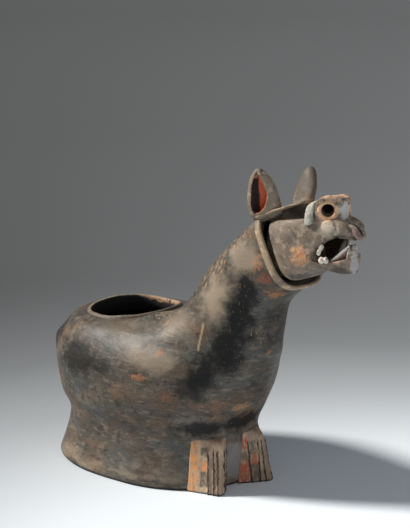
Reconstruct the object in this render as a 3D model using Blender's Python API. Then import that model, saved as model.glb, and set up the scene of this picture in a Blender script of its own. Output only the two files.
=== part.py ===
"""Llama effigy vessel: hand-built pottery, modelled as the clay members that its potter luted together.

The animal faces +X with its left side on +Y, and stands on the plane z = 0. The origin is in the flat
underside of the floor. Every member is its own closed solid, and a thin seam parts it from its neighbours.
"""

import math
from collections import namedtuple

import bmesh
import bpy
from mathutils import Matrix, Vector

MM = 0.001

# Clay thicknesses, and the clearance left at each luted seam
WALL = 9 * MM
FLOOR_THICKNESS = 11 * MM
HEAD_WALL = 11 * MM
SEAM = 0.3 * MM

# How far a cutter or an untrimmed end runs past the surface that it meets
REACH = 60 * MM

# Flared skirt that stands for the hind legs
BASE_FRONT = 138 * MM
BASE_REAR = 158 * MM
BASE_HALF_WIDTH = 106 * MM
WAIST_HEIGHT = 66 * MM
WAIST_FRONT = 143 * MM
WAIST_REAR = 141 * MM
WAIST_HALF_WIDTH = 93 * MM

# Belly, shoulder and back: heights at the chest and at the rump, reach to the front and rear, half width
BELLY_CHEST_HEIGHT = 133 * MM
BELLY_RUMP_HEIGHT = 144 * MM
BELLY_FRONT = 176 * MM
BELLY_REAR = 167 * MM
BELLY_HALF_WIDTH = 112 * MM
SHOULDER_CHEST_HEIGHT = 162 * MM
SHOULDER_RUMP_HEIGHT = 183 * MM
SHOULDER_FRONT = 190 * MM
SHOULDER_REAR = 143 * MM
SHOULDER_HALF_WIDTH = 99 * MM
BACK_CHEST_HEIGHT = 179 * MM
BACK_RUMP_HEIGHT = 196 * MM
BACK_FRONT = 199 * MM
BACK_REAR = 108 * MM
BACK_HALF_WIDTH = 86 * MM

# Round mouth in the back, finished with a coil
MOUTH_X = -56 * MM
MOUTH_RADIUS = 56 * MM
RIM_WIDTH = 8 * MM
RIM_TOP = 202 * MM
RIM_TILT = math.radians(3)

# Neck: its nape and throat lines from the root to the hood that takes the head
NECK_ROOT_NAPE = (42 * MM, 198 * MM)
NECK_ROOT_CHEST = (205 * MM, 198 * MM)
NECK_ROOT_HALF_WIDTH = 71 * MM
NECK_MIDDLE_NAPE = (123 * MM, 283 * MM)
NECK_MIDDLE_THROAT = (218 * MM, 242 * MM)
NECK_MIDDLE_HALF_WIDTH = 50 * MM
POLL = (207 * MM, 353 * MM)
THROAT = (247 * MM, 274 * MM)
HOOD_HALF_WIDTH = 38 * MM

# Front legs, each a flared pilaster with grooves between its toes
LEG_HEIGHT = 67 * MM
LEG_FRONT = (160 * MM, 45 * MM)
LEG_OUTER = (110 * MM, 64 * MM)
LEG_INNER = {"right": (134 * MM, 16 * MM), "left": (138 * MM, 3 * MM)}
LEG_FLARE = 14 * MM
LEG_EDGE = 3 * MM
LEG_OUTER_BEND = 0.6
LEG_INNER_BEND = 0.5
TOE_GROOVES = 4
FIRST_TOE_GROOVE = 0.36
TOE_GROOVE_PITCH = 0.12
TOE_GROOVE_WIDTH = 1.8 * MM
TOE_GROOVE_DEPTH = 2.4 * MM

# Halter of applied clay strips
BAND_LAP = 3 * MM
BAND_OVERHANG = 7 * MM
BAND_THICKNESS = 4 * MM
STRAP_START = (-12 * MM, 41 * MM)
STRAP_START_SPREAD = 39 * MM
STRAP_END = (63 * MM, 69 * MM)
STRAP_END_SPREAD = 29 * MM
STRAP_HEIGHT = 6 * MM
STRAP_DEPTH = 18 * MM
NOSE_BAND_WIDTH = 9 * MM
NOSE_BAND_THICKNESS = 3.5 * MM
NOSE_BAND_SECTION = 3
NOSE_BAND_GIRTH = 0.3

# The place in side view that the head and its pieces are measured from, inside the hood
HEAD_ORIGIN = (222.5 * MM, 312 * MM)

# Head sections, given from the head's origin: lower and upper end, half width, taper and squareness
HEAD_SECTIONS = (
    ((36 * MM, -27 * MM), (3 * MM, 43 * MM), 37 * MM, 0, 3.4),
    ((46 * MM, -22 * MM), (24 * MM, 51 * MM), 38 * MM, 0, 3.4),
    ((56 * MM, -14 * MM), (47 * MM, 60 * MM), 36 * MM, 0, 3.2),
    ((71 * MM, -9 * MM), (65 * MM, 68 * MM), 31 * MM, -0.05, 3.0),
    ((86 * MM, -8 * MM), (78 * MM, 77 * MM), 24 * MM, -0.15, 2.9),
    ((96 * MM, -9 * MM), (91 * MM, 78 * MM), 17 * MM, -0.35, 3.0),
    ((102 * MM, -9 * MM), (97 * MM, 51 * MM), 16 * MM, -0.05, 2.7),
    ((106 * MM, -8 * MM), (120 * MM, 38 * MM), 9.5 * MM, 0, 2.5),
)
TENON_SHARE = 0.15
CHEEK_STEP = 7 * MM
CAVITY_START = 0.3
CAVITY_END = 5

# Open jaws, given from the head's origin in side view
LIP_CORNER = (69 * MM, 7 * MM)
UPPER_LIP = ((72 * MM, 18 * MM), (84 * MM, 28 * MM), (97 * MM, 34 * MM), (130 * MM, 32 * MM))
LOWER_LIP = ((75 * MM, -0.5 * MM), (99 * MM, 4 * MM), (130 * MM, 12 * MM))
JAW_WALL = 6 * MM
SCOOP_START = 2
SCOOP_END = 5.8

# Hollow under each cheek strap, given from the head's origin in side view
TEMPLE_OUTLINE = ((2 * MM, 34 * MM), (58 * MM, 63 * MM), (58 * MM, 45 * MM), (8 * MM, 30 * MM))
TEMPLE_HALF_WIDTH = 30 * MM

# Pierced eyes: their place on the head, counted in sections and as a share of the girth from the chin
EYE_SECTION = 4.33
EYE_GIRTH = 0.335
EYE_HOLE_RADIUS = 8 * MM
EYE_HOLE_DEPTH = 16 * MM
EYE_RING_WIDTH = 6 * MM
EYE_RING_PROUD = 2 * MM

# Hollow ears, given from the head's origin
EAR_BASE = (-5 * MM, 44 * MM)
EAR_BASE_SLOPE = 0.4
EAR_BASE_SPREAD = 30 * MM
EAR_TIP = (-3 * MM, 104 * MM)
EAR_TIP_SPREAD = 44 * MM
LEFT_EAR_DROP = 7 * MM
EAR_LENGTH = 45 * MM
EAR_THICKNESS = 18 * MM
EAR_WALL = 5 * MM
EAR_TURN = math.radians(11)

# Pads at the tip of the muzzle, placed on the head in the same way as the eyes
NOSTRIL_SECTION = 6.67
NOSTRIL_GIRTH = 0.415
NOSTRIL_SIZE = (6 * MM, 3.5 * MM, 5 * MM)

# Teeth and tongue, given from the head's origin
MOLAR_SETBACK = 2 * MM
MOLAR_LENGTH = 11 * MM
MOLAR_HEIGHT = 7 * MM
FANG_SETBACK = 6 * MM
FANG_LENGTH = 9 * MM
TOOTH_WIDTH = 6 * MM
INCISORS = 4
INCISOR_X = 102 * MM
INCISOR_HEIGHT = 14 * MM
INCISOR_NOTCH = 3 * MM
INCISOR_SPAN = 15 * MM
INCISOR_THICKNESS = 4 * MM
TONGUE_HALF_WIDTH = 8 * MM
TONGUE_ROOT = 80 * MM
TONGUE_TIP = 96 * MM
TONGUE_RISE = 18 * MM
TONGUE_BEND = 0.6

# Facets of the lofted surfaces
RING_POINTS = 36
RINGS_PER_SPAN = 3
RIM_POINTS = 40
EYE_POINTS = 18
EAR_POINTS = 20
TOOTH_POINTS = 10
LEG_CURVE_STEPS = 5

for leftover in list(bpy.data.objects):
    bpy.data.objects.remove(leftover)

Section = namedtuple("Section", "front back half_width taper squareness")


def clay(name, colour, roughness):
    """A fired-clay material."""
    material = bpy.data.materials.new(name)
    material.use_nodes = True
    shader = material.node_tree.nodes["Principled BSDF"]
    shader.inputs["Base Color"].default_value = (*colour, 1)
    shader.inputs["Roughness"].default_value = roughness
    shader.inputs["Metallic"].default_value = 0
    return material


def body_from(name, bm, material=None):
    """An object from a closed bmesh. Without a material it is a cutter, which isn't part of the vessel."""
    bmesh.ops.recalc_face_normals(bm, faces=bm.faces)
    mesh = bpy.data.meshes.new(name)
    bm.to_mesh(mesh)
    bm.free()
    made = bpy.data.objects.new(name, mesh)
    bpy.context.scene.collection.objects.link(made)
    if material:
        mesh.materials.append(material)
        mesh.shade_smooth()
        mesh.set_sharp_from_angle(angle=math.radians(40))
    else:
        made.hide_render = True
        made.display_type = "WIRE"
    return made


def cut(piece, *tools, operation="DIFFERENCE"):
    """Takes the tools away from the piece or, with INTERSECT, keeps what lies inside them."""
    for tool in tools:
        modifier = piece.modifiers.new("cut_" + tool.name, "BOOLEAN")
        modifier.operation = operation
        modifier.solver = "EXACT"
        modifier.object = tool


def skin(name, rings, material=None, around=True):
    """A closed solid through rings of points. With around set the last ring joins the first, as in a hoop.

    The triangles' diagonals run the same way on both sides of a seam, so that twisted faces stay parallel.
    """
    bm = bmesh.new()
    rows = [[bm.verts.new(point) for point in ring] for ring in rings]
    count = len(rings[0])
    pairs = list(zip(rows, rows[1:]))
    if around:
        pairs.append((rows[0], rows[-1]))
    for low, high in pairs:
        for i in range(count):
            j = (i + 1) % count
            bm.faces.new((low[i], low[j], high[j]))
            bm.faces.new((low[i], high[j], high[i]))
    if not around:
        bm.faces.new(rows[0])
        bm.faces.new(rows[-1])
    return body_from(name, bm, material)


def prism(name, outline, place, reach, material=None):
    """A solid between two copies of a flat outline: place maps an outline point and a depth."""
    ends = [[place(point, depth) for point in outline] for depth in reach]
    return skin(name, ends, material, around=False)


def side_view(point, depth):
    """A point of the animal's side view, at a distance to its left."""
    return Vector((point[0], depth, point[1]))


def blend(a, b, share):
    return a + (b - a) * share


def spline(before, start, end, after, share):
    """Catmull-Rom value between start and end."""
    bend = 2 * before - 5 * start + 4 * end - after
    twist = 3 * (start - end) + after - before
    return start + 0.5 * share * (end - before + share * (bend + share * twist))


def between(sections, position):
    """The section at a position along the list, counted in sections."""
    last = len(sections) - 1
    index = min(int(position), last - 1)
    around = [sections[min(max(index + step, 0), last)] for step in (-1, 0, 1, 2)]
    share = position - index

    def value(pick):
        return spline(*(pick(section) for section in around), share)

    return Section(
        (value(lambda s: s.front[0]), value(lambda s: s.front[1])),
        (value(lambda s: s.back[0]), value(lambda s: s.back[1])),
        value(lambda s: s.half_width),
        value(lambda s: s.taper),
        value(lambda s: s.squareness),
    )


def ring_of(section):
    """Points around a section, from its front over the animal's left side to its back and round again."""
    front = side_view(section.front, 0)
    back = side_view(section.back, 0)
    power = 2 / section.squareness
    points = []
    for i in range(RING_POINTS):
        angle = 2 * math.pi * i / RING_POINTS
        along = math.copysign(abs(math.cos(angle)) ** power, math.cos(angle))
        across = math.copysign(abs(math.sin(angle)) ** power, math.sin(angle))
        point = blend(back, front, (1 + along) / 2)
        point.y = section.half_width * across * (1 - section.taper * along)
        points.append(point)
    return points


def normals_of(rings):
    """Outward normals of the lofted surface through the rings."""
    last = len(rings) - 1
    normals = []
    for r, ring in enumerate(rings):
        below = rings[max(r - 1, 0)]
        above = rings[min(r + 1, last)]
        row = []
        for i in range(RING_POINTS):
            sideways = ring[(i + 1) % RING_POINTS] - ring[i - 1]
            row.append(sideways.cross(above[i] - below[i]).normalized())
        normals.append(row)
    return normals


def swell(rings, normals, distance):
    """The rings moved out along their normals."""
    return [[p + n * distance for p, n in zip(ring, row)] for ring, row in zip(rings, normals)]


def shifted(ring, offset):
    return [point + offset for point in ring]


def steps(start, end, count):
    return [blend(start, end, i / count) for i in range(count + 1)]


# Vessel wall: one lofted form from the ground to the hood, parted into skirt, body and neck
WAIST, NECK_ROOT, HOOD = 1, 5, 7
vessel_sections = [
    Section((BASE_FRONT, 0), (-BASE_REAR, 0), BASE_HALF_WIDTH, 0, 2.25),
    Section((WAIST_FRONT, WAIST_HEIGHT), (-WAIST_REAR, WAIST_HEIGHT), WAIST_HALF_WIDTH, 0, 2.25),
    Section((BELLY_FRONT, BELLY_CHEST_HEIGHT), (-BELLY_REAR, BELLY_RUMP_HEIGHT), BELLY_HALF_WIDTH, 0, 2.1),
    Section(
        (SHOULDER_FRONT, SHOULDER_CHEST_HEIGHT),
        (-SHOULDER_REAR, SHOULDER_RUMP_HEIGHT),
        SHOULDER_HALF_WIDTH,
        0.03,
        2.05,
    ),
    Section((BACK_FRONT, BACK_CHEST_HEIGHT), (-BACK_REAR, BACK_RUMP_HEIGHT), BACK_HALF_WIDTH, 0.12, 2.1),
    Section(NECK_ROOT_CHEST, NECK_ROOT_NAPE, NECK_ROOT_HALF_WIDTH, 0.16, 2.1),
    Section(NECK_MIDDLE_THROAT, NECK_MIDDLE_NAPE, NECK_MIDDLE_HALF_WIDTH, 0.14, 2.1),
    Section(THROAT, POLL, HOOD_HALF_WIDTH, 0, 2.7),
]

positions = steps(0, HOOD, RINGS_PER_SPAN * HOOD)
positions.insert(-1, HOOD - TENON_SHARE)
outer = [ring_of(between(vessel_sections, position)) for position in positions]
outward = normals_of(outer)
inner = swell(outer, outward, -WALL)
grown = swell(outer, outward, SEAM)


def eased(ring, row, distance):
    """A ring of the wall moved along the wall, up for a positive distance."""
    low = outer[max(row - 1, 0)]
    high = outer[min(row + 1, len(outer) - 1)]
    return [point + (b - a).normalized() * distance for point, a, b in zip(ring, low, high)]


def flat_foot(ring):
    """A ring of the wall's foot, dropped onto the ground."""
    return [Vector((point.x, point.y, 0)) for point in ring]


def wall_piece(name, start, end, material):
    """The wall between two sections, outside and inside, with half a seam left free at each joined edge."""
    first = start * RINGS_PER_SPAN
    last = len(positions) - 1 if end == HOOD else end * RINGS_PER_SPAN
    outside = outer[first : last + 1]
    inside = inner[first : last + 1]
    if start == 0:
        inside[0] = flat_foot(inside[0])
    else:
        outside[0] = eased(outside[0], first, SEAM / 2)
        inside[0] = eased(inside[0], first, SEAM / 2)
    if end != HOOD:
        outside[-1] = eased(outside[-1], last, -SEAM / 2)
        inside[-1] = eased(inside[-1], last, -SEAM / 2)
    return skin(name, outside + inside[::-1], material)


dark_slip = clay("dark_burnished_slip", (0.055, 0.045, 0.04), 0.45)
base_skirt = wall_piece("base_skirt", 0, WAIST, dark_slip)
body_wall = wall_piece("body_wall", WAIST, NECK_ROOT, dark_slip)
neck_wall = wall_piece("neck_wall", NECK_ROOT, HOOD, dark_slip)

below_ground = shifted(grown[0], Vector((0, 0, -REACH)))
vessel_cutter = skin("vessel_cutter", [below_ground] + grown, around=False)


# Floor disc inside the foot of the skirt
def floor_ring(height):
    """The inside of the wall at a height near the ground, less the seam."""
    low, high = swell(outer, outward, -WALL - SEAM)[:2]
    ring = []
    for a, b in zip(low, high):
        foot = Vector((a.x, a.y, 0))
        ring.append(blend(foot, b, height / b.z))
    return ring


bare_clay = clay("bare_clay", (0.2, 0.13, 0.09), 0.9)
vessel_floor = skin("vessel_floor", [floor_ring(0), floor_ring(FLOOR_THICKNESS)], bare_clay, around=False)


# Coil around the mouth, laid on the back and cut to its curve
def turned(profile, centre, axis_matrix, points):
    """Rings of a turned form, one for each (radius, height) pair of its profile."""
    rings = []
    for radius, height in profile:
        ring = []
        for i in range(points):
            angle = 2 * math.pi * i / points
            local = Vector((radius * math.cos(angle), radius * math.sin(angle), height))
            ring.append(centre + axis_matrix @ local)
        rings.append(ring)
    return rings


rim_centre = Vector((MOUTH_X, 0, RIM_TOP))
rim_matrix = Matrix.Rotation(-RIM_TILT, 3, "Y")


def rim_profile():
    """The coil's section: straight into the wall below, half round on top."""
    middle = MOUTH_RADIUS + RIM_WIDTH / 2
    half = RIM_WIDTH / 2
    profile = [(MOUTH_RADIUS + RIM_WIDTH, -REACH)]
    for angle in steps(0, math.pi, 8):
        profile.append((middle + half * math.cos(angle), half * (math.sin(angle) - 1)))
    profile.append((MOUTH_RADIUS, -REACH))
    return profile


worn_slip = clay("worn_slip", (0.12, 0.085, 0.06), 0.55)
mouth_rim = skin("mouth_rim", turned(rim_profile(), rim_centre, rim_matrix, RIM_POINTS), worn_slip)
bore = [(MOUTH_RADIUS, -REACH), (MOUTH_RADIUS, REACH)]
mouth_cutter = skin("mouth_cutter", turned(bore, rim_centre, rim_matrix, RIM_POINTS), around=False)
cut(mouth_rim, vessel_cutter)
cut(body_wall, mouth_cutter)


# Front legs, cut to the curve of the skirt and chest
def outline_between(start, middle, end, count):
    """A curve that leaves start, bends towards middle and arrives at end."""
    points = []
    for share in steps(0, 1, count):
        first = blend(start, middle, share)
        second = blend(middle, end, share)
        points.append(blend(first, second, share))
    return points


def leg_outline(side_name, flare):
    """The plan of a leg on the left, from the skirt round the toes and back. The flare draws the toes in."""
    outer_corner, inner_corner = Vector(LEG_OUTER), Vector(LEG_INNER[side_name])
    toe = Vector(LEG_FRONT) - Vector((flare, flare)) / math.sqrt(2)
    outer_part = outline_between(outer_corner, blend(outer_corner, toe, LEG_OUTER_BEND), toe, LEG_CURVE_STEPS)
    inner_part = outline_between(toe, blend(toe, inner_corner, LEG_INNER_BEND), inner_corner, LEG_CURVE_STEPS)
    roots = [Vector((0, inner_corner.y)), Vector((0, outer_corner.y))]
    return outer_part + inner_part[1:] + roots


def leg_rings(side_name, side):
    """The leg from the ground to its ledge, whose edge is eased."""
    levels = ((0, 0), (LEG_HEIGHT - LEG_EDGE, LEG_FLARE), (LEG_HEIGHT, LEG_FLARE + LEG_EDGE))
    return [
        [Vector((point.x, side * point.y, height)) for point in leg_outline(side_name, flare)]
        for height, flare in levels
    ]


def toe_groove(name, side_name, side, share):
    """A slot that runs up the leg's face at a share of the way round its toes."""
    corners = []
    top = LEG_HEIGHT - LEG_FLARE
    for height, flare in ((-LEG_EDGE, 0), (top, LEG_FLARE * top / LEG_HEIGHT)):
        outline = leg_outline(side_name, flare)
        place = share * 2 * LEG_CURVE_STEPS
        index = int(place)
        point = blend(outline[index], outline[index + 1], place - index)
        along = (outline[index + 1] - outline[index]).normalized()
        inward = Vector((-along.y, along.x)) if along.x < 0 else Vector((along.y, -along.x))
        ring = []
        for across, depth in ((-1, -2), (1, -2), (1, 1), (-1, 1)):
            corner = point + along * (across * TOE_GROOVE_WIDTH / 2) + inward * (depth * TOE_GROOVE_DEPTH)
            ring.append(Vector((corner.x, side * corner.y, height)))
        corners.append(ring)
    return skin(name, corners, around=False)


SIDES = (("right", -1), ("left", 1))
painted_clay = clay("painted_clay", (0.2, 0.1, 0.055), 0.7)
for side_name, side in SIDES:
    leg = skin(side_name + "_front_leg", leg_rings(side_name, side), painted_clay, around=False)
    cut(leg, vessel_cutter)
    for groove in range(TOE_GROOVES):
        share = FIRST_TOE_GROOVE + groove * TOE_GROOVE_PITCH
        cut(leg, toe_groove(f"{side_name}_toe_groove_{groove}", side_name, side, share))

# Hood: the frame in which the head is placed
head_origin = side_view(HEAD_ORIGIN, 0)
hood_axis = Vector((0, 1, 0)).cross(side_view(POLL, 0) - side_view(THROAT, 0)).normalized()


def at_head(point, depth=0):
    """A point given from the head's origin."""
    return head_origin + side_view(point, depth)


def head_section(lower, upper, half_width, taper, squareness, inset=0):
    """A head section. The inset draws it in on all sides."""
    low = at_head(lower)
    high = at_head(upper)
    draw = (high - low).normalized() * inset
    low += draw
    high -= draw
    return Section((low.x, low.z), (high.x, high.z), half_width - inset, taper, squareness)


# Collar of the halter, lapped over the neck's end and standing out past it
def collar(name, growth, material=None):
    """The collar, grown on every side by a clearance."""
    seat = swell(outer, outward, SEAM - growth)
    face = swell(outer, outward, SEAM + BAND_THICKNESS + growth)
    forward = hood_axis * (BAND_OVERHANG + growth)
    lap = (BAND_LAP + growth) / (outer[-1][0] - outer[-2][0]).length
    rear = [blend(a, b, min(lap, 1)) for a, b in zip(seat[-1], seat[-2])]
    rear_face = [blend(a, b, min(lap, 1)) for a, b in zip(face[-1], face[-2])]
    rings = [rear, seat[-1], shifted(seat[-1], forward), shifted(face[-1], forward), face[-1], rear_face]
    return skin(name, rings, material)


halter_band = collar("halter_band", 0, worn_slip)
collar_cutter = collar("collar_cutter", SEAM)

# Hollow head: a tenon in the neck's end, a groove behind the cheeks, then cheeks, brow and muzzle
head_sections = [head_section(*given) for given in HEAD_SECTIONS]
head_rings = []
for position in steps(0, len(head_sections) - 1, RINGS_PER_SPAN * (len(head_sections) - 1)):
    head_rings.append(ring_of(between(head_sections, position)))
head_outward = normals_of(head_rings)
cheek_foot = ring_of(head_section(*HEAD_SECTIONS[0], inset=CHEEK_STEP))
tenon = swell(outer, outward, -WALL - SEAM)[-2:]
tenon_bore = swell(outer, outward, -WALL - SEAM - HEAD_WALL)[-2:]
cavity_sections = [head_section(*given, inset=HEAD_WALL) for given in HEAD_SECTIONS[: CAVITY_END + 1]]
cavity = [ring_of(head_section(*HEAD_SECTIONS[0], inset=CHEEK_STEP + HEAD_WALL))]
for position in steps(CAVITY_START, CAVITY_END, RINGS_PER_SPAN * CAVITY_END):
    cavity.append(ring_of(between(cavity_sections, position)))

head_slip = clay("head_slip", (0.16, 0.12, 0.09), 0.6)
head_shell = skin(
    "head_shell",
    head_rings[::-1] + [cheek_foot] + tenon[::-1] + tenon_bore + cavity,
    head_slip,
    around=False,
)
head_cutter = skin("head_cutter", swell(head_rings, head_outward, SEAM), around=False)

# Open mouth and the separate lower jaw
THROUGH = (-REACH, REACH)
mouth_outline = [LIP_CORNER, *UPPER_LIP, *LOWER_LIP[::-1]]
mouth_gap = prism("mouth_gap", mouth_outline, at_head, THROUGH)
jaw_back = LOWER_LIP[0][0]
jaw_front = LOWER_LIP[-1][0]
jaw_bottom = LOWER_LIP[0][1] - REACH


def jaw_block(name, back, lift, material=None):
    """All that lies below the lower lip and in front of the jaw's joint."""
    top = [(max(x, back), z + lift) for x, z in LOWER_LIP]
    return prism(name, [*top, (jaw_front, jaw_bottom), (back, jaw_bottom)], at_head, THROUGH, material)


def scoop(name, inset):
    """The hollow of the jaw: the head's form, drawn in on all sides."""
    sections = [head_section(*given, inset=inset) for given in HEAD_SECTIONS]
    places = steps(SCOOP_START, SCOOP_END, RINGS_PER_SPAN * len(sections))
    return skin(name, [ring_of(between(sections, place)) for place in places], around=False)


cut(head_shell, mouth_gap, jaw_block("jaw_space", jaw_back, SEAM))
lower_jaw = jaw_block("lower_jaw", jaw_back + SEAM, 0, head_slip)
cut(lower_jaw, skin("jaw_form", head_rings, around=False), operation="INTERSECT")
cut(lower_jaw, scoop("jaw_scoop", JAW_WALL))


# Strip over the bridge of the nose, bent to the head
def nose_band_loop(index, growth):
    """The strip's section at one point of the head's girth."""
    row = NOSE_BAND_SECTION * RINGS_PER_SPAN
    span = (head_rings[row + 1][index] - head_rings[row - 1][index]).length
    reach = (NOSE_BAND_WIDTH + 2 * growth) / span
    edges = []
    for height in (SEAM - growth, NOSE_BAND_THICKNESS + growth):
        surface = swell(head_rings, head_outward, height)[row - 1 : row + 2]
        rear, middle, front = [ring[index] for ring in surface]
        edges.append([blend(middle, rear, reach), middle, blend(middle, front, reach)])
    return edges[0] + edges[1][::-1]


nose_band_end = round(NOSE_BAND_GIRTH * RING_POINTS)
nose_band_indices = range(nose_band_end, RING_POINTS - nose_band_end + 1)
pale_slip = clay("pale_slip", (0.3, 0.29, 0.25), 0.7)
nose_band = skin("nose_band", [nose_band_loop(i, 0) for i in nose_band_indices], pale_slip, around=False)
nose_band_space = [nose_band_loop(i, SEAM) for i in nose_band_indices]
nose_band_cutter = skin("nose_band_cutter", nose_band_space, around=False)


# Bars of the halter above the cheeks
def strap_rings(side, growth):
    """The bar from the collar to the nose band, with its outer edge in the halter's line."""
    start = at_head(STRAP_START, STRAP_START_SPREAD)
    end = at_head(STRAP_END, STRAP_END_SPREAD)
    rise = Vector((0, 0, STRAP_HEIGHT / 2 + growth))
    reach = Vector((0, STRAP_DEPTH + growth, 0))
    skirt = Vector((0, growth, 0))
    rings = []
    for share in (-growth / STRAP_DEPTH, 0.5, 1 + growth / STRAP_DEPTH):
        middle = blend(start, end, share)
        loop = [middle + skirt - rise, middle + skirt + rise, middle - reach + rise, middle - reach - rise]
        rings.append([Vector((point.x, side * point.y, point.z)) for point in loop])
    return rings


strap_cutters = {}
for side_name, side in SIDES:
    strap = skin(side_name + "_cheek_strap", strap_rings(side, 0), worn_slip, around=False)
    cut(strap, head_cutter, collar_cutter, nose_band_cutter, vessel_cutter)
    strap_cutters[side] = skin(side_name + "_strap_cutter", strap_rings(side, SEAM), around=False)

# Hollows under the straps
for side_name, side in SIDES:
    depths = (side * TEMPLE_HALF_WIDTH, side * REACH)
    cut(head_shell, prism(side_name + "_temple_hollow", TEMPLE_OUTLINE, at_head, depths))


# Pierced eyes with an applied ring around each
def facing(direction):
    """The turn that takes +Z to a direction."""
    return Vector((0, 0, 1)).rotation_difference(direction).to_matrix()


def ring_profile(hole, width, height, depth):
    """A half-round ring around a hole, straight below its base."""
    profile = [(hole + width, -depth), (hole + width, 0)]
    for angle in steps(0, math.pi, 6):
        profile.append((hole + width / 2 * (1 + math.cos(angle)), height * math.sin(angle)))
    return profile[:1] + profile[2:] + [(hole, -depth)]


def on_head(section, girth, side):
    """The head's surface at a section, at a share of the girth from the chin: its point and its normal."""
    row = round(section * RINGS_PER_SPAN)
    index = round((girth if side > 0 else 1 - girth) * RING_POINTS)
    return head_rings[row][index], head_outward[row][index]


buff_slip = clay("buff_slip", (0.42, 0.22, 0.11), 0.75)
for side_name, side in SIDES:
    eye, outlook = on_head(EYE_SECTION, EYE_GIRTH, side)
    turn = facing(outlook)
    hole = [(EYE_HOLE_RADIUS, -EYE_HOLE_DEPTH), (EYE_HOLE_RADIUS, HEAD_WALL)]
    cut(head_shell, skin(side_name + "_eye_hole", turned(hole, eye, turn, EYE_POINTS), around=False))
    profile = ring_profile(EYE_HOLE_RADIUS, EYE_RING_WIDTH, EYE_RING_PROUD, HEAD_WALL)
    eye_ring = skin(side_name + "_eye_ring", turned(profile, eye, turn, EYE_POINTS), buff_slip)
    cut(eye_ring, head_cutter, nose_band_cutter)


# Leaf-shaped ears, hollow towards the outside
def ear_rings(side, shares, inset, outward_shift, half_thickness):
    """Oval rings from base to tip. The inset and shift turn the ear's form into that of its hollow."""
    base = at_head(EAR_BASE, EAR_BASE_SPREAD)
    tip = at_head(EAR_TIP, EAR_TIP_SPREAD)
    if side > 0:
        tip.z -= LEFT_EAR_DROP
    along = Vector((math.cos(EAR_TURN), -math.sin(EAR_TURN), 0))
    across = Vector((math.sin(EAR_TURN), math.cos(EAR_TURN), 0))
    rings = []
    for share in shares:
        fullness = (1 - share**3) ** 0.7
        half_length = EAR_LENGTH / 2 * fullness - inset
        ring = []
        for i in range(EAR_POINTS):
            angle = 2 * math.pi * i / EAR_POINTS
            point = blend(base, tip, share) + along * (half_length * math.cos(angle))
            point += across * (outward_shift + half_thickness * fullness**0.5 * math.sin(angle))
            point.z += EAR_BASE_SLOPE * (1 - share) * half_length * math.cos(angle)
            ring.append(Vector((point.x, side * point.y, point.z)))
        rings.append(ring)
    return rings


EAR_SHARES = (0, 0.2, 0.4, 0.55, 0.7, 0.8, 0.88, 0.95, 0.985)
EAR_HOLLOW_SHARES = (0.16, 0.3, 0.45, 0.6, 0.72, 0.82, 0.88)
for side_name, side in SIDES:
    form = ear_rings(side, EAR_SHARES, 0, 0, EAR_THICKNESS / 2)
    ear = skin(side_name + "_ear", form, worn_slip, around=False)
    reach = EAR_THICKNESS - EAR_WALL
    hollow = ear_rings(side, EAR_HOLLOW_SHARES, EAR_WALL, EAR_THICKNESS / 2, reach)
    cut(ear, skin(side_name + "_ear_hollow", hollow, around=False))
    cut(ear, head_cutter, collar_cutter, strap_cutters[side], vessel_cutter)

# Nostril pads
pink_slip = clay("pink_slip", (0.38, 0.22, 0.19), 0.7)
for side_name, side in SIDES:
    bm = bmesh.new()
    bmesh.ops.create_uvsphere(bm, u_segments=12, v_segments=8, radius=1)
    bmesh.ops.scale(bm, vec=NOSTRIL_SIZE, verts=bm.verts)
    bmesh.ops.translate(bm, vec=on_head(NOSTRIL_SECTION, NOSTRIL_GIRTH, side)[0], verts=bm.verts)
    cut(body_from(side_name + "_nostril", bm, pink_slip), head_cutter)


# Teeth: pellets along the lips and a plate of incisors in the jaw's front
def lip_height(lip, x):
    """The height of a lip's line at a distance in front of the head's origin."""
    for (x0, z0), (x1, z1) in zip(lip, lip[1:]):
        if x0 <= x <= x1:
            return blend(z0, z1, (x - x0) / (x1 - x0))
    return lip[0][1]


def half_width_at(x):
    """The head's half width at a distance in front of the head's origin, near the mouth."""
    for near, far in zip(HEAD_SECTIONS, HEAD_SECTIONS[1:]):
        if near[0][0] <= x <= far[0][0]:
            return blend(near[2], far[2], (x - near[0][0]) / (far[0][0] - near[0][0]))
    return HEAD_SECTIONS[-1][2]


def tooth(name, foot, height, half_length, slope):
    """A blunt pellet whose foot follows the slope of its lip. A negative height makes it hang."""
    rings = []
    for share, size in ((0, 1), (0.45, 0.95), (0.8, 0.7), (1, 0.35)):
        ring = []
        for i in range(TOOTH_POINTS):
            angle = 2 * math.pi * i / TOOTH_POINTS
            along = half_length * size * math.cos(angle)
            rise = height * share + slope * along * (1 - share)
            across = TOOTH_WIDTH / 2 * size * math.sin(angle)
            ring.append(foot + Vector((along, across, rise)))
        rings.append(ring)
    return skin(name, rings, tooth_clay, around=False)


def lip_slope(lip, x):
    step = MOLAR_LENGTH / 8
    return (lip_height(lip, x + step) - lip_height(lip, x - step)) / (2 * step)


tooth_clay = clay("tooth_clay", (0.62, 0.58, 0.5), 0.6)
molar_x = jaw_back + MOLAR_SETBACK + MOLAR_LENGTH / 2
fang_x = UPPER_LIP[0][0] + FANG_SETBACK
for side_name, side in SIDES:
    molar_spread = half_width_at(molar_x) - JAW_WALL / 2
    foot = at_head((molar_x, lip_height(LOWER_LIP, molar_x) + SEAM), side * molar_spread)
    slope = lip_slope(LOWER_LIP, molar_x)
    tooth(side_name + "_lower_molar", foot, MOLAR_HEIGHT, MOLAR_LENGTH / 2, slope)
    fang_spread = half_width_at(fang_x) - HEAD_WALL / 2
    slope = lip_slope(UPPER_LIP, fang_x)
    hang = lip_height(UPPER_LIP, fang_x) - SEAM * math.hypot(1, slope)
    foot = at_head((fang_x, hang), side * fang_spread)
    tooth(side_name + "_upper_fang", foot, -FANG_LENGTH, TOOTH_WIDTH / 2, slope)

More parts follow.
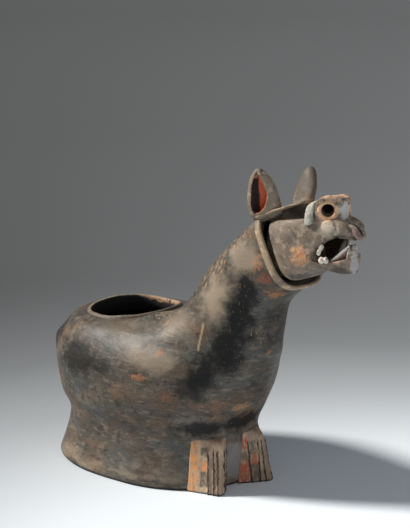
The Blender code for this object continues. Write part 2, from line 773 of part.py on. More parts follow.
incisor_foot = lip_height(LOWER_LIP, INCISOR_X + INCISOR_THICKNESS) + SEAM


def front_view(point, depth):
    """A point of the jaw's front view, at a distance in front of the head's origin."""
    return at_head((depth, point[1]), point[0])


incisor_outline = [(-INCISOR_SPAN / 2, incisor_foot), (INCISOR_SPAN / 2, incisor_foot)]
crown = incisor_foot + INCISOR_HEIGHT
for i in range(INCISORS):
    for share, drop in ((0, INCISOR_NOTCH), (0.2, 0), (0.8, 0)):
        incisor_outline.append((INCISOR_SPAN * (0.5 - (i + share) / INCISORS), crown - drop))
incisor_outline.append((-INCISOR_SPAN / 2, crown - INCISOR_NOTCH))
incisor_reach = (INCISOR_X, INCISOR_X + INCISOR_THICKNESS)
prism("lower_incisors", incisor_outline, front_view, incisor_reach, tooth_clay)

# Tongue, lying in the scoop of the jaw and curled up to its tip
tongue_root = Vector((TONGUE_ROOT, lip_height(LOWER_LIP, TONGUE_ROOT)))
tongue_rest = Vector((TONGUE_TIP, lip_height(LOWER_LIP, TONGUE_TIP)))
tongue_tip = tongue_rest + Vector((0, TONGUE_RISE))
tongue_outline = outline_between(tongue_root, blend(tongue_root, tongue_rest, TONGUE_BEND), tongue_tip, 5)
tongue_outline += [(TONGUE_TIP, jaw_bottom), (TONGUE_ROOT, jaw_bottom)]
tongue_depths = (-TONGUE_HALF_WIDTH, TONGUE_HALF_WIDTH)
tongue = prism("tongue", tongue_outline, at_head, tongue_depths, pink_slip)
cut(tongue, scoop("tongue_bed", JAW_WALL + SEAM), operation="INTERSECT")
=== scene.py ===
import math

import bmesh
import bpy
import numpy as np
from mathutils import Matrix, Vector, noise
from mathutils.bvhtree import BVHTree


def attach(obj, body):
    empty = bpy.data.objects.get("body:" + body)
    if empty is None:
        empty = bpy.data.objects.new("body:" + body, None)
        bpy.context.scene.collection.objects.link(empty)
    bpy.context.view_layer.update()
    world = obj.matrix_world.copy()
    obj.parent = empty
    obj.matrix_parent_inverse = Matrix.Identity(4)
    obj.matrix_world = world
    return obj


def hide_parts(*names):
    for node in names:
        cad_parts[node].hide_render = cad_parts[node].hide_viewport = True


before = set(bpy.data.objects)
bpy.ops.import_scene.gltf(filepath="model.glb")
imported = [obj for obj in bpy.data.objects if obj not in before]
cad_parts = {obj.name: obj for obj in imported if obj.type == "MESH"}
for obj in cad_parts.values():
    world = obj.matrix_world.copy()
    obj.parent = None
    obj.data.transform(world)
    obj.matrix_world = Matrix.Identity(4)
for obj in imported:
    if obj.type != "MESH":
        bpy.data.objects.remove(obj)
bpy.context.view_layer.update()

# The vessel wall: skirt, belly and neck, built up from coils of brown clay and scraped to an even thickness.
# A dark slip covers it, rubbed to a sheen with a pebble. Smoke from the open fire has blackened the chest,
# and wear has brought out the tan clay along the nape and the foot.
MM = 0.001
WALL = 9 * MM
FOOT_ROUNDING = 7 * MM
AROUND_WALL = 232


def section(front, back, half_width, narrowing=0, squareness=2):
    """An oval slice of a hollow form, in millimetres: its two ends in side view and half its width.

    Narrowing draws its front in, and squareness fills its corners out.
    """
    lengths = np.array([*front, *back, half_width]) * MM
    return np.array([*lengths, narrowing, squareness])


wall_sections = [
    section((138, 0), (-158, 0), 106, 0, 2.25),
    section((143, 66), (-141, 59), 93, 0, 2.25),
    section((156, 98), (-153.5, 92), 106.5, 0, 2.15),
    section((175, 133), (-167, 152), 109, 0, 2.1),
    section((191, 162), (-143, 183), 99.5, 0.03, 2.05),
    section((203.5, 179), (-108, 196), 86, 0.11, 2.1),
    section((203.5, 198), (42, 198), 71, 0.18, 2.1),
    section((214.5, 242), (118.5, 288), 50, 0.14, 2.1),
    section((247, 274), (201.5, 358), 38.5, 0, 3.3),
]


def along(sections, places):
    """The sections' values at places that are counted in sections, on a smooth curve through them."""
    sections = np.array(sections)
    last = len(sections) - 1
    index = np.minimum(places.astype(int), last - 1)
    share = (places - index)[:, None]
    before, start, end, after = (sections[np.clip(index + step, 0, last)] for step in (-1, 0, 1, 2))
    bend = 2 * before - 5 * start + 4 * end - after
    twist = 3 * (start - end) + after - before
    return start + 0.5 * share * (end - before + share * (bend + share * twist))


def ovals(values, around):
    """Rings of points, each from the front over the animal's left side to the back and round again."""
    angle = np.linspace(0, 2 * math.pi, around, endpoint=False)
    front_x, front_z, back_x, back_z, half_width, narrowing, squareness = values.T[:, :, None]
    power = 2 / squareness
    forward = np.sign(np.cos(angle)) * np.abs(np.cos(angle)) ** power
    sideways = np.sign(np.sin(angle)) * np.abs(np.sin(angle)) ** power
    share = (1 + forward) / 2
    x = back_x + (front_x - back_x) * share
    z = back_z + (front_z - back_z) * share
    return np.stack([x, half_width * sideways * (1 - narrowing * forward), z], axis=2)


def wiped(rings, strokes, weight=1):
    """The rings, evened out with a wet hand along and around the form. The first and last stay."""
    for _ in range(strokes):
        around = (np.roll(rings, 1, axis=1) + np.roll(rings, -1, axis=1)) / 2
        up = (rings[:-2] + rings[2:]) / 2
        change = 0.25 * (around[1:-1] + up) - 0.5 * rings[1:-1]
        rings[1:-1] += np.broadcast_to(weight, rings.shape)[1:-1] * change
    return rings


def outward(rings):
    """Unit normals of the surface through the rings."""
    sideways = np.roll(rings, -1, axis=1) - np.roll(rings, 1, axis=1)
    upward = np.gradient(rings, axis=0)
    normals = np.cross(sideways, upward)
    return normals / np.linalg.norm(normals, axis=2, keepdims=True)


def unevenness(points, size, depth):
    """How far a hand-made surface strays at each point, with swells of a size."""
    flat = points.reshape(-1, 3) / size
    values = np.array([noise.noise(Vector(point)) for point in flat])
    return depth * values.reshape(points.shape[:-1] + (1,))


def clay_piece(name, points, faces, *materials):
    """A mesh object of the pottery, shaded smooth."""
    mesh = bpy.data.meshes.new(name)
    mesh.from_pydata(np.reshape(points, (-1, 3)).tolist(), [], [list(face) for face in faces])
    for material in materials:
        mesh.materials.append(material)
    mesh.shade_smooth()
    piece = bpy.data.objects.new(name, mesh)
    bpy.context.scene.collection.objects.link(piece)
    return piece


def ring_faces(rows, around, closed=False):
    """Quads between neighbouring rings. With closed set, the last ring joins the first."""
    faces = []
    for row in range(rows if closed else rows - 1):
        low = row * around
        high = (row + 1) % rows * around
        for i in range(around):
            j = (i + 1) % around
            faces.append((low + i, low + j, high + j, high + i))
    return faces


def fixed(piece, slot, *nodes):
    """Fires a piece onto the vessel in place of the plain solids. Its slot is not used."""
    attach(piece, "root")
    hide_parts(*nodes)


class Finish:
    """A fired-clay finish in coats. Each coat covers the ones below it where its mask is white."""

    def __init__(self, name, colour, roughness):
        self.material = bpy.data.materials.new(name)
        self.material.use_nodes = True
        self.tree = self.material.node_tree
        self.shader = self.tree.nodes["Principled BSDF"]
        self.place = self.tree.nodes.new("ShaderNodeTexCoord").outputs["Object"]
        self.colour = (*colour, 1)
        self.roughness = roughness
        self.normal = None

    def plug(self, socket, value):
        if isinstance(value, bpy.types.NodeSocket):
            self.tree.links.new(value, socket)
        elif value is not None:
            socket.default_value = value

    def node(self, kind, *inputs, output=0, **settings):
        """A node with its settings and, in order, its inputs. None leaves an input as it is."""
        made = self.tree.nodes.new("ShaderNode" + kind)
        for key, value in settings.items():
            setattr(made, key, value)
        for socket, value in zip(made.inputs, inputs):
            self.plug(socket, value)
        return made.outputs[output]

    def sum(self, kind, *values):
        return self.node("Math", *values, operation=kind)

    def mottle(self, size, stretch=(1, 1, 1), shift=0, detail=5, roughness=0.6):
        """Cloudy values around a half, with clouds of a size that may be drawn out along an axis."""
        scale = tuple(1 / (size * s) for s in stretch)
        scaled = self.node("VectorMath", self.place, scale, (shift, shift, shift), operation="MULTIPLY_ADD")
        return self.node("TexNoise", scaled, None, 1, detail, roughness)

    def between(self, value, low, high):
        """A mask that rises from black at low to white at high. It falls where high is the smaller."""
        return self.node("MapRange", value, low, high, 0, 1, interpolation_type="SMOOTHSTEP")

    def clouds(self, low, high, size, stretch=(1, 1, 1), shift=0, detail=5):
        """A mask of clouds: black where the mottle is at low and white where it is at high."""
        return self.between(self.mottle(size, stretch, shift, detail), low, high)

    def patch(self, centre, reach, ragged=0.5, size=8 * MM, soft=0.3):
        """A mask for a worn patch with a ragged edge. Its centre and reach are in millimetres."""
        away = self.node("VectorMath", self.place, tuple(Vector(centre) * MM), operation="SUBTRACT")
        scaled = self.node("VectorMath", away, tuple(1 / (r * MM) for r in reach), operation="MULTIPLY")
        distance = self.node("VectorMath", scaled, operation="LENGTH", output=1)
        fray = self.sum("MULTIPLY_ADD", self.mottle(size, shift=centre[0]), 4 * ragged, -2 * ragged)
        return self.between(self.sum("ADD", distance, fray), 1, 1 - soft)

    def both(self, *masks):
        """White where all the masks are."""
        result = masks[0]
        for mask in masks[1:]:
            result = self.sum("MULTIPLY", result, mask)
        return result

    def share(self, mask, amount):
        """A thinner mask."""
        return self.sum("MULTIPLY", mask, amount)

    def height(self):
        """How high a place is, in metres."""
        return self.node("SeparateXYZ", self.place, output=2)

    def coat(self, colour, mask, roughness=None):
        """Lays a colour over the finish where the mask is white, with its own roughness if given."""
        mix = self.tree.nodes.new("ShaderNodeMix")
        mix.data_type = "RGBA"
        self.plug(mix.inputs[0], mask)
        self.plug(mix.inputs[6], self.colour)
        self.plug(mix.inputs[7], (*colour, 1))
        self.colour = mix.outputs[2]
        if roughness is not None:
            self.roughness = self.node("Mix", mask, None, self.roughness, roughness, data_type="FLOAT")

    def relief(self, height, depth):
        """Raises the surface by a depth where the height is white."""
        bump = self.tree.nodes.new("ShaderNodeBump")
        bump.inputs["Distance"].default_value = depth
        self.plug(bump.inputs["Height"], height)
        self.plug(bump.inputs["Normal"], self.normal)
        self.normal = bump.outputs[0]

    def fired(self):
        """The finished material."""
        sockets = {"Base Color": self.colour, "Roughness": self.roughness, "Normal": self.normal}
        for name, value in sockets.items():
            self.plug(self.shader.inputs[name], value)
        return self.material


# Black for soot, and also for painted shade in hollows, creases and under overhangs.
SOOT_AND_SHADE_BLACK = (0.004, 0.004, 0.004)
SMOKED_BROWN = (0.064, 0.053, 0.041)
SLATE = (0.070, 0.072, 0.066)
WARM_BROWN = (0.135, 0.080, 0.048)
DULL_TAN = (0.21, 0.175, 0.135)
WORN_TAN = (0.30, 0.215, 0.135)
OLD_ORANGE = (0.48, 0.20, 0.075)
OLD_RED = (0.36, 0.075, 0.028)
PALE_CRUST = (0.50, 0.42, 0.32)

slip = Finish("dark_burnished_slip", SMOKED_BROWN, 0.5)
slip.shader.inputs["Specular IOR Level"].default_value = 0.3
slip.coat(SLATE, slip.share(slip.clouds(0.46, 0.62, 60 * MM, (1, 1, 0.7), 3.3), 0.9), 0.5)
slip.coat(WARM_BROWN, slip.clouds(0.50, 0.68, 48 * MM, (1.3, 1.3, 0.8), 8.1), 0.52)
grey_bloom = slip.clouds(0.48, 0.72, 30 * MM, (1.6, 1.6, 0.8), 1.7)
slip.coat((0.17, 0.145, 0.115), slip.share(grey_bloom, 0.7), 0.54)
streaks = slip.clouds(0.52, 0.74, 2.4 * MM, (16, 16, 1), 5.5)
slip.coat(DULL_TAN, slip.share(streaks, 0.35), 0.54)
grit = slip.clouds(0.52, 0.66, 1.6 * MM, (1.5, 1.5, 1), 6.1, 3)
slip.coat((0.028, 0.026, 0.023), slip.share(grit, 0.5), 0.54)
scuffs = slip.clouds(0.53, 0.64, 6 * MM, (2.2, 2.2, 0.8), 4.8)
slip.coat(DULL_TAN, slip.share(scuffs, 0.45), 0.54)
soot_flecks = slip.clouds(0.53, 0.64, 8 * MM, (1.6, 1.6, 0.9), 9.6)
slip.coat((0.018, 0.017, 0.016), slip.share(soot_flecks, 0.6), 0.54)
# Pale patches: slip rubbed pale by the pebble, and a painted sheen of the lamp under the rim, on the
# shoulder, neck and upper flank. Each patch's middle and reach in millimetres, and its strength.
for centre, reach, strength in (
    ((9, -75, 192), (85, 36, 20), 0.25),
    ((103, -65, 210), (46, 34, 34), 0.45),
    ((156, -54, 255), (24, 30, 46), 0.95),
    ((192, -42, 306), (30, 34, 36), 0.75),
    ((76, -92, 168), (56, 34, 20), 0.55),
):
    pale_wear_and_sheen = slip.patch(centre, reach, 0.45, 25 * MM, 0.8)
    slip.coat((0.33, 0.26, 0.19), slip.share(pale_wear_and_sheen, strength), 0.46)
# Where the smoke blackened it, from under the head down the chest, under the belly and on the rump.
# Under the belly, just above the legs, it is also painted shade under the chest's overhang.
for centre, reach, strength in (
    ((198, -40, 262), (17, 30, 34), 0.97),
    ((186, -44, 228), (22, 34, 44), 0.97),
    ((172, -50, 190), (25, 32, 40), 0.97),
    ((150, -66, 160), (30, 32, 30), 0.95),
    ((140, -75, 140), (34, 34, 26), 0.7),
    ((205, 12, 228), (24, 44, 50), 0.55),
    # These two: soot, and painted shade under the chest's overhang above the legs.
    ((126, -53, 81), (44, 44, 14), 0.95),
    ((146, 0, 86), (30, 44, 16), 0.92),
    ((3, -111, 148), (30, 26, 14), 0.7),
    ((-47, -106, 150), (54, 40, 34), 0.8),
    ((-130, -60, 168), (40, 50, 28), 0.8),
):
    soot_and_shade = slip.patch(centre, reach, 0.4, 16 * MM, 0.6)
    slip.coat(SOOT_AND_SHADE_BLACK, slip.share(soot_and_shade, strength), 0.7)
# Where it has flaked off along the nape and at the root of the neck.
flaking = slip.clouds(0.50, 0.60, 4.5 * MM, (1, 1, 1.6), 2.2)
orange_in_flakes = slip.clouds(0.54, 0.62, 3 * MM, shift=6.4)
for centre, reach in (
    ((138, -38, 285), (46, 26, 46)),
    ((178, -25, 330), (36, 30, 26)),
    ((70, -40, 214), (56, 36, 18)),
):
    flakes = slip.both(slip.patch(centre, reach, 0.5, 12 * MM, 0.6), flaking)
    slip.coat(WORN_TAN, slip.share(flakes, 0.9), 0.62)
    slip.coat(OLD_ORANGE, slip.share(slip.both(flakes, orange_in_flakes), 0.8), 0.7)
# Spots of bare clay and of the paint that once covered it.
speckle = slip.clouds(0.38, 0.54, 2.5 * MM, shift=4.4)
for centre, reach, colour in (
    ((70, -104, 145), (17, 20, 5.5), OLD_ORANGE),
    ((91, -85, 177), (8, 9, 6), OLD_ORANGE),
    ((50, -104, 122), (34, 30, 16), WARM_BROWN),
    ((98, -88, 118), (34, 30, 22), WARM_BROWN),
    ((106, -89, 125), (14, 14, 9), (0.25, 0.10, 0.05)),
    ((162, -13, 122), (20, 30, 16), WARM_BROWN),
    ((162, -13, 109), (17, 22, 7), WORN_TAN),
    ((162, -13, 109), (14, 18, 5), OLD_ORANGE),
    ((209, 0, 213), (5, 5, 4), OLD_ORANGE),
    ((206, 0, 201), (4, 5, 3), PALE_CRUST),
    ((200, -6, 185), (4, 5, 3.5), OLD_ORANGE),
    ((224, -37, 284), (12, 9, 8), OLD_RED),
    ((228, -24, 262), (13, 13, 8), OLD_ORANGE),
    ((214, -40, 302), (9, 9, 13), OLD_ORANGE),
    ((-75, -95, 16), (40, 20, 12), WORN_TAN),
):
    bare_spot = slip.both(slip.patch(centre, reach, 0.55, 7 * MM, 0.5), speckle)
    slip.coat(colour, slip.share(bare_spot, 0.5), 0.68)
between_legs = slip.patch((140, -5, 34), (16, 20, 34), 0.3, 12 * MM, 0.4)
slip.coat((0.25, 0.235, 0.225), slip.share(between_legs, 0.85), 0.7)
scratch_up = slip.clouds(0.63, 0.68, 1.6 * MM, (1, 1, 9), 7.7)
chest = slip.patch((190, -35, 220), (60, 60, 70), 0.3, 30 * MM)
slip.coat(WORN_TAN, slip.share(slip.both(scratch_up, chest), 0.8), 0.6)
# A long scrape on the side of the neck, patch by patch from its upper end.
SCRAPE = ((144, -63, 216), (143, -65, 209), (141.5, -66, 202), (140, -67, 195), (138.5, -67, 189))
for centre in SCRAPE:
    scraped = slip.patch(centre, (2, 9, 6), 0.12, 6 * MM, 0.5)
    slip.coat((0.42, 0.28, 0.16), slip.share(scraped, 0.8), 0.6)
foot_wear = slip.both(
    slip.between(slip.height(), 32 * MM, 8 * MM),
    slip.clouds(0.42, 0.62, 14 * MM, (2.2, 2.2, 0.8), 9.1),
)
slip.coat((0.27, 0.215, 0.155), slip.share(foot_wear, 0.6), 0.7)
# Painted shadow along the bottom edge of the foot, where it meets the table.
slip.coat((0.015, 0.014, 0.013), slip.between(slip.height(), 5.5 * MM, 1.5 * MM), 0.8)
pinholes = slip.clouds(0.66, 0.72, 2.2 * MM, shift=3.9)
slip.coat(PALE_CRUST, slip.share(pinholes, 0.5), 0.75)
slip.relief(slip.mottle(2.2 * MM, (7, 7, 1), 5.5), 0.25 * MM)
slip.relief(slip.mottle(9 * MM, (1.6, 1.6, 0.8), 2.5), 0.5 * MM)
burnished_slip = slip.fired()

sooty = Finish("sooty_inside", (0.012, 0.011, 0.011), 0.85)
sooty.coat((0.03, 0.025, 0.02), sooty.clouds(0.45, 0.7, 25 * MM))
sooty.relief(sooty.mottle(6 * MM), 0.6 * MM)
sooty_inside = sooty.fired()

foot_places = np.linspace(0, 0.12, 10)
wall_places = np.concatenate([foot_places, np.linspace(0.12, len(wall_sections) - 1, 200)[1:]])
outside = wiped(ovals(along(wall_sections, wall_places), AROUND_WALL), 20)
# The folds where the neck leaves the back and the chest, wiped smooth: middle, reach and strokes of the hand.
FOLDS = (
    ((95, 0, 198), (85, 400, 32), 250),
    ((192, 0, 188), (60, 400, 40), 200),
    ((-60, 0, 186), (170, 400, 22), 140),
)
for fold, reach, strokes in FOLDS:
    from_fold = ((outside - np.array(fold) * MM) / (np.array(reach) * MM)) ** 2
    outside = wiped(outside, strokes, np.exp(-from_fold.sum(axis=2, keepdims=True)))
wall_out = outward(outside)
# The clay that fills the corner between the mouth and the root of the neck, on both sides.
SADDLE = np.array((36, 42, 200)) * MM
SADDLE_REACH = np.array((36, 34, 24)) * MM
SADDLE_LIFT = 11 * MM
on_the_left = np.stack([outside[..., 0], np.abs(outside[..., 1]), outside[..., 2]], axis=2)
from_saddle = ((on_the_left - SADDLE) / SADDLE_REACH) ** 2
outside[..., 2] += SADDLE_LIFT * np.exp(-from_saddle.sum(axis=2)) * np.clip(wall_out[..., 2], 0, 1)
wall_out = outward(outside)
# A lump of clay left on the rump, and the marks of the hands all over.
RUMP_LUMP = np.array((-139, -64, 158)) * MM
RUMP_LUMP_REACH = np.array((14, 12, 10)) * MM
RUMP_LUMP_HEIGHT = 2.5 * MM
from_lump = ((outside - RUMP_LUMP) / RUMP_LUMP_REACH) ** 2
lump = RUMP_LUMP_HEIGHT * np.exp(-from_lump.sum(axis=2, keepdims=True))
hand_marks = unevenness(outside, 60 * MM, 1.3 * MM) + unevenness(outside, 17 * MM, 0.3 * MM)
outside = outside + wall_out * (hand_marks + lump)

# The back is drawn up all round the mouth to carry the coil of its lip.
MOUTH_CENTRE = Vector((-53, 0, 201.5)) * MM
MOUTH_RADIUS = 56 * MM
MOUTH_TILT = math.radians(3.0)
MOUTH_ROLL = math.radians(5.4)
CHIP_DEPTH = 8.5 * MM
CHIP_BEARING = math.radians(86)
CHIP_REACH = math.radians(50)
RIM_WIDTH = 6.2 * MM
RIM_FILLET = (22 * MM, 42 * MM)
LIP_COVER = 3.5 * MM
WALL_EDGE = 4 * MM
LOWEST_OF_BACK = 160 * MM


def lip_height(x, y):
    """The height of the mouth's lip over a place of the plan. It is worn down on the far side."""
    bearing = np.arctan2(y, x - MOUTH_CENTRE.x)
    chip = CHIP_DEPTH * np.exp(-(((bearing - CHIP_BEARING) / CHIP_REACH) ** 2))
    return MOUTH_CENTRE.z + math.tan(MOUTH_TILT) * (x - MOUTH_CENTRE.x) + math.tan(MOUTH_ROLL) * y - chip


from_mouth = np.hypot(outside[..., 0] - MOUTH_CENTRE.x, outside[..., 1])
sideways = np.abs(outside[..., 1]) / from_mouth
fillet = RIM_FILLET[0] + (RIM_FILLET[1] - RIM_FILLET[0]) * sideways
drawn_up = np.clip((MOUTH_RADIUS + RIM_WIDTH + fillet - from_mouth) / fillet, 0, 1)
drawn_up = np.where(outside[..., 2] > LOWEST_OF_BACK, drawn_up, 0)
below_lip = np.clip(lip_height(outside[..., 0], outside[..., 1]) - LIP_COVER - outside[..., 2], 0, None)
outside[..., 2] += drawn_up * below_lip
inside = outside - wall_out * WALL
near_ground = np.clip(FOOT_ROUNDING - outside[..., 2:], 0, FOOT_ROUNDING)
outside = outside - wall_out * (FOOT_ROUNDING - np.sqrt(FOOT_ROUNDING**2 - near_ground**2))
outside[..., 2] = np.clip(outside[..., 2], 0, None)
outside[0, :, 2] = 0
inside[..., 2] = np.clip(inside[..., 2], 0, None)

wall_rings = np.concatenate([outside, inside[::-1]])
wall_points = wall_rings.reshape(-1, 3)
wall_faces = np.array(ring_faces(len(wall_rings), AROUND_WALL, closed=True))
outer_skin = BVHTree.FromPolygons(wall_points.tolist(), ring_faces(len(outside), AROUND_WALL))
middles = wall_points[wall_faces].mean(axis=1)
from_mouth = np.hypot(middles[:, 0] - MOUTH_CENTRE.x, middles[:, 1])
over_mouth = (from_mouth < MOUTH_RADIUS + WALL_EDGE) & (middles[:, 2] > LOWEST_OF_BACK - 2 * WALL)
wall_faces = wall_faces[~over_mouth]
vessel_wall = clay_piece("vessel_wall", wall_points, wall_faces, burnished_slip, sooty_inside)
is_inside = wall_faces.min(axis=1) >= outside.size // 3
vessel_wall.data.polygons.foreach_set("material_index", is_inside.astype(np.int32))
# The edge of the wall at the mouth, which the coil of the rim hides.
bm = bmesh.new()
bm.from_mesh(vessel_wall.data)
bmesh.ops.delete(bm, geom=[vertex for vertex in bm.verts if not vertex.link_faces], context="VERTS")
bmesh.ops.bridge_loops(bm, edges=[edge for edge in bm.edges if edge.is_boundary])
bm.to_mesh(vessel_wall.data)
bm.free()
vessel_wall.data.shade_smooth()
fixed(vessel_wall, "dark_burnished_slip", "base_skirt", "body_wall", "neck_wall")

# The floor: a slab of bare clay pressed into the foot of the skirt and smeared to the wall from inside.
# It was never slipped, so the brown body with its grit shows.
FLOOR_THICKNESS = 11 * MM
FLOOR_UNDERSIDE = 0.4 * MM
bare = Finish("bare_clay", (0.2, 0.13, 0.09), 0.9)
bare.coat((0.11, 0.075, 0.055), bare.clouds(0.4, 0.65, 30 * MM))
bare.coat((0.42, 0.33, 0.24), bare.clouds(0.62, 0.7, 2 * MM, shift=4))
bare.relief(bare.mottle(3 * MM), 0.4 * MM)


def slab_ring(share, height):
    """A ring of the slab at a share of the way out to the wall."""
    ring = inside[0] * share
    ring[:, 2] = height
    return ring


out_to_wall = np.linspace(0.04, 0.998, 20)
slab_under = np.array([slab_ring(share, FLOOR_UNDERSIDE) for share in out_to_wall])
slab_top = np.array([slab_ring(share, FLOOR_THICKNESS) for share in out_to_wall[::-1]])
slab_top[..., 2:] += unevenness(slab_top, 30 * MM, 0.8 * MM)


def solid(name, rings, *materials):
    """A closed body through rings of points, its two ends filled in."""
    rings = np.array(rings)
    count, around = rings.shape[:2]
    first = tuple(range(around))[::-1]
    last = tuple(range((count - 1) * around, count * around))
    return clay_piece(name, rings, ring_faces(count, around) + [first, last], *materials)


vessel_floor = solid("vessel_floor", np.concatenate([slab_under, slab_top]), bare.fired())
fixed(vessel_floor, "bare_clay", "vessel_floor")

# The rim: a coil of clay pinched onto the edge of the mouth and smoothed into the back with the fingers.
# Hands and lids have rubbed the slip off its lip, and on the far side the orange clay shows.
AROUND_RIM = 200
worn = Finish("worn_slip", (0.175, 0.14, 0.10), 0.55)
worn.coat((0.09, 0.075, 0.06), worn.clouds(0.48, 0.66, 25 * MM, shift=3))
rubbed = worn.clouds(0.40, 0.58, 7 * MM, shift=1.4)
worn.coat((0.36, 0.275, 0.185), worn.share(rubbed, 0.7), 0.6)
from_axis = worn.node("VectorMath", worn.place, (1, 1, 0), (-MOUTH_CENTRE.x, 0, 0), operation="MULTIPLY_ADD")
from_axis = worn.node("VectorMath", from_axis, operation="LENGTH", output=1)
coil_foot = worn.between(from_axis, MOUTH_RADIUS + 3.2 * MM, MOUTH_RADIUS + 5.6 * MM)
worn.coat((0.095, 0.08, 0.063), worn.share(coil_foot, 0.75), 0.55)
by_the_neck = worn.patch((8, -8, 206), (30, 44, 14), 0.4, 12 * MM, 0.7)
worn.coat((0.10, 0.08, 0.06), worn.share(by_the_neck, 0.8), 0.55)
worn.coat(SOOT_AND_SHADE_BLACK, worn.share(worn.clouds(0.60, 0.70, 18 * MM, shift=12), 0.8), 0.5)
worn.coat(SOOT_AND_SHADE_BLACK, worn.between(from_axis, MOUTH_RADIUS + 2 * MM, MOUTH_RADIUS + 0.8 * MM), 0.8)
far_rim = worn.both(
    worn.patch((-48, 50, 200), (56, 26, 8), 0.35, 15 * MM, 0.4),
    worn.clouds(0.36, 0.48, 6 * MM, shift=7),
)
worn.coat((0.40, 0.25, 0.145), worn.share(far_rim, 0.9), 0.65)
worn.relief(worn.mottle(3 * MM), 0.35 * MM)
worn_slip = worn.fired()


def rim_section(angle):
    """The coil's section at an angle of the mouth, from the inside over the lip to its foot outside."""
    out = Vector((math.cos(angle), math.sin(angle), 0))
    lip_place = MOUTH_CENTRE + out * MOUTH_RADIUS
    lip = lip_height(lip_place.x, lip_place.y) + 0.9 * MM * noise.noise(out * 2.3)
    half = RIM_WIDTH / 2 * (1 + 0.15 * noise.noise(out * 3.1))
    middle = MOUTH_RADIUS + RIM_WIDTH / 2
    shoulder = lip - 0.9 * half
    hidden = lip - WALL - 12 * MM
    profile = [
        (middle + half + 3 * MM, hidden),
        (middle - half + 1 * MM, hidden),
        (middle - half, shoulder - 5 * MM),
    ]
    for turn in np.linspace(1, 0, 11) * math.pi:
        profile.append((middle + half * math.cos(turn), shoulder + 0.9 * half * math.sin(turn)))
    profile.append((middle + half + 1 * MM, shoulder - 2 * MM))
    profile.append((middle + half + 3 * MM, shoulder - 5 * MM))
    centre = np.array((MOUTH_CENTRE.x, 0, 0))
    return [centre + np.array(out) * radius + np.array((0, 0, height)) for radius, height in profile]


rim_angles = np.linspace(0, 2 * math.pi, AROUND_RIM, endpoint=False)
rim_rings = np.array([rim_section(angle) for angle in rim_angles])
rim_faces = ring_faces(AROUND_RIM, rim_rings.shape[1], closed=True)
mouth_rim = clay_piece("mouth_rim", rim_rings, rim_faces, worn_slip)
fixed(mouth_rim, "worn_slip", "mouth_rim")

# The front legs: two slabs of clay luted to the skirt below the chest, scored with a stick into toes.
# They carry the last of the bright paint: orange and cream outside, red and black inside.
LEG_HEIGHT = 67 * MM
LEG_TOE = Vector((160, 45, 0)) * MM
LEG_FLARE = Vector((-10, -10, 0)) * MM
LEG_PROUD = 0.8 * MM
LEG_SUNK = 6 * MM
LEG_ROUNDS_FROM = 0.86
OUTER_EDGE = (62 * MM, 57 * MM)
INNER_EDGE = {"right": (16 * MM, 20 * MM), "left": (4 * MM, 8 * MM)}
TOE_ROUNDING = 0.07
GROOVE_DEPTH = 2.4 * MM
GROOVE_HALF_WIDTH = 0.022
ACROSS_LEG = 150
UP_LEG = 56
# Each groove's share of the way round the leg, at the foot and at its upper end: outer face, toe, inner face.
TOE_GROOVES = ((0.305, 0.27), (0.385, 0.355), (0.445, 0.425), (0.60, 0.58), (0.68, 0.655), (0.80, 0.90))


def leg_row(side_name, share_up):
    """The leg's outline at a share of its height, drawn on the animal's left, with its toe grooves."""
    height = LEG_HEIGHT * share_up

    def on_wall(across):
        start = Vector((0.4, across, max(height, FOOT_ROUNDING)))
        return Vector((outer_skin.ray_cast(start, Vector((-1, 0, 0)))[0].x, across, 0))

    def at_height(edge):
        return on_wall(edge[0] + (edge[1] - edge[0]) * share_up)

    start = at_height(OUTER_EDGE) + Vector((0, LEG_PROUD, 0))
    end = at_height(INNER_EDGE[side_name]) + Vector((LEG_PROUD, 0, 0))
    toe = LEG_TOE + LEG_FLARE * share_up**0.9
    shares = np.linspace(0, 1, ACROSS_LEG)
    points = []
    for share in shares:
        if abs(share - 0.5) < TOE_ROUNDING:
            near = start.lerp(toe, 1 - 2 * TOE_ROUNDING)
            far = toe.lerp(end, 2 * TOE_ROUNDING)
            t = (share - 0.5 + TOE_ROUNDING) / (2 * TOE_ROUNDING)
            point = near.lerp(toe, t).lerp(toe.lerp(far, t), t)
        else:
            point = start.lerp(toe, 2 * share) if share < 0.5 else toe.lerp(end, 2 * share - 1)
        points.append(point)
    points = np.array(points)
    tangent = np.gradient(points, axis=0)
    normal = np.stack([-tangent[:, 1], tangent[:, 0], np.zeros(ACROSS_LEG)], axis=1)
    normal *= -1 / np.linalg.norm(normal, axis=1, keepdims=True)
    cut = np.zeros(ACROSS_LEG)
    for foot, head in TOE_GROOVES:
        centre = foot + (head - foot) * share_up
        runs_out = min(1, max(0, (LEG_ROUNDS_FROM - share_up) / 0.08))
        cut += runs_out * np.clip(1 - np.abs(shares - centre) / GROOVE_HALF_WIDTH, 0, 1) ** 0.8
    points += normal * (-GROOVE_DEPTH * cut[:, None] + unevenness(points + height, 14 * MM, 0.7 * MM))
    past_shoulder = max(0, (share_up - LEG_ROUNDS_FROM) / (1 - LEG_ROUNDS_FROM))
    standing = math.sqrt(max(0, 1 - past_shoulder**2))
    for point in points:
        wall = on_wall(point[1]).x
        point[0] = wall + max(point[0] - wall, 0) * standing - (1 - standing) * LEG_PROUD
    back = []
    for share in np.linspace(0.05, 0.95, 7):
        back.append(on_wall(end.y + (start.y - end.y) * share) - Vector((LEG_SUNK, 0, 0)))
    row = np.concatenate([points, np.array(back)])
    row[:, 2] = height
    return row


straight_part = np.linspace(0, LEG_ROUNDS_FROM, UP_LEG)
rounded_part = LEG_ROUNDS_FROM + (1 - LEG_ROUNDS_FROM) * np.sin(np.linspace(0.15, math.pi / 2, 10))
up_shares = np.concatenate([straight_part, rounded_part])

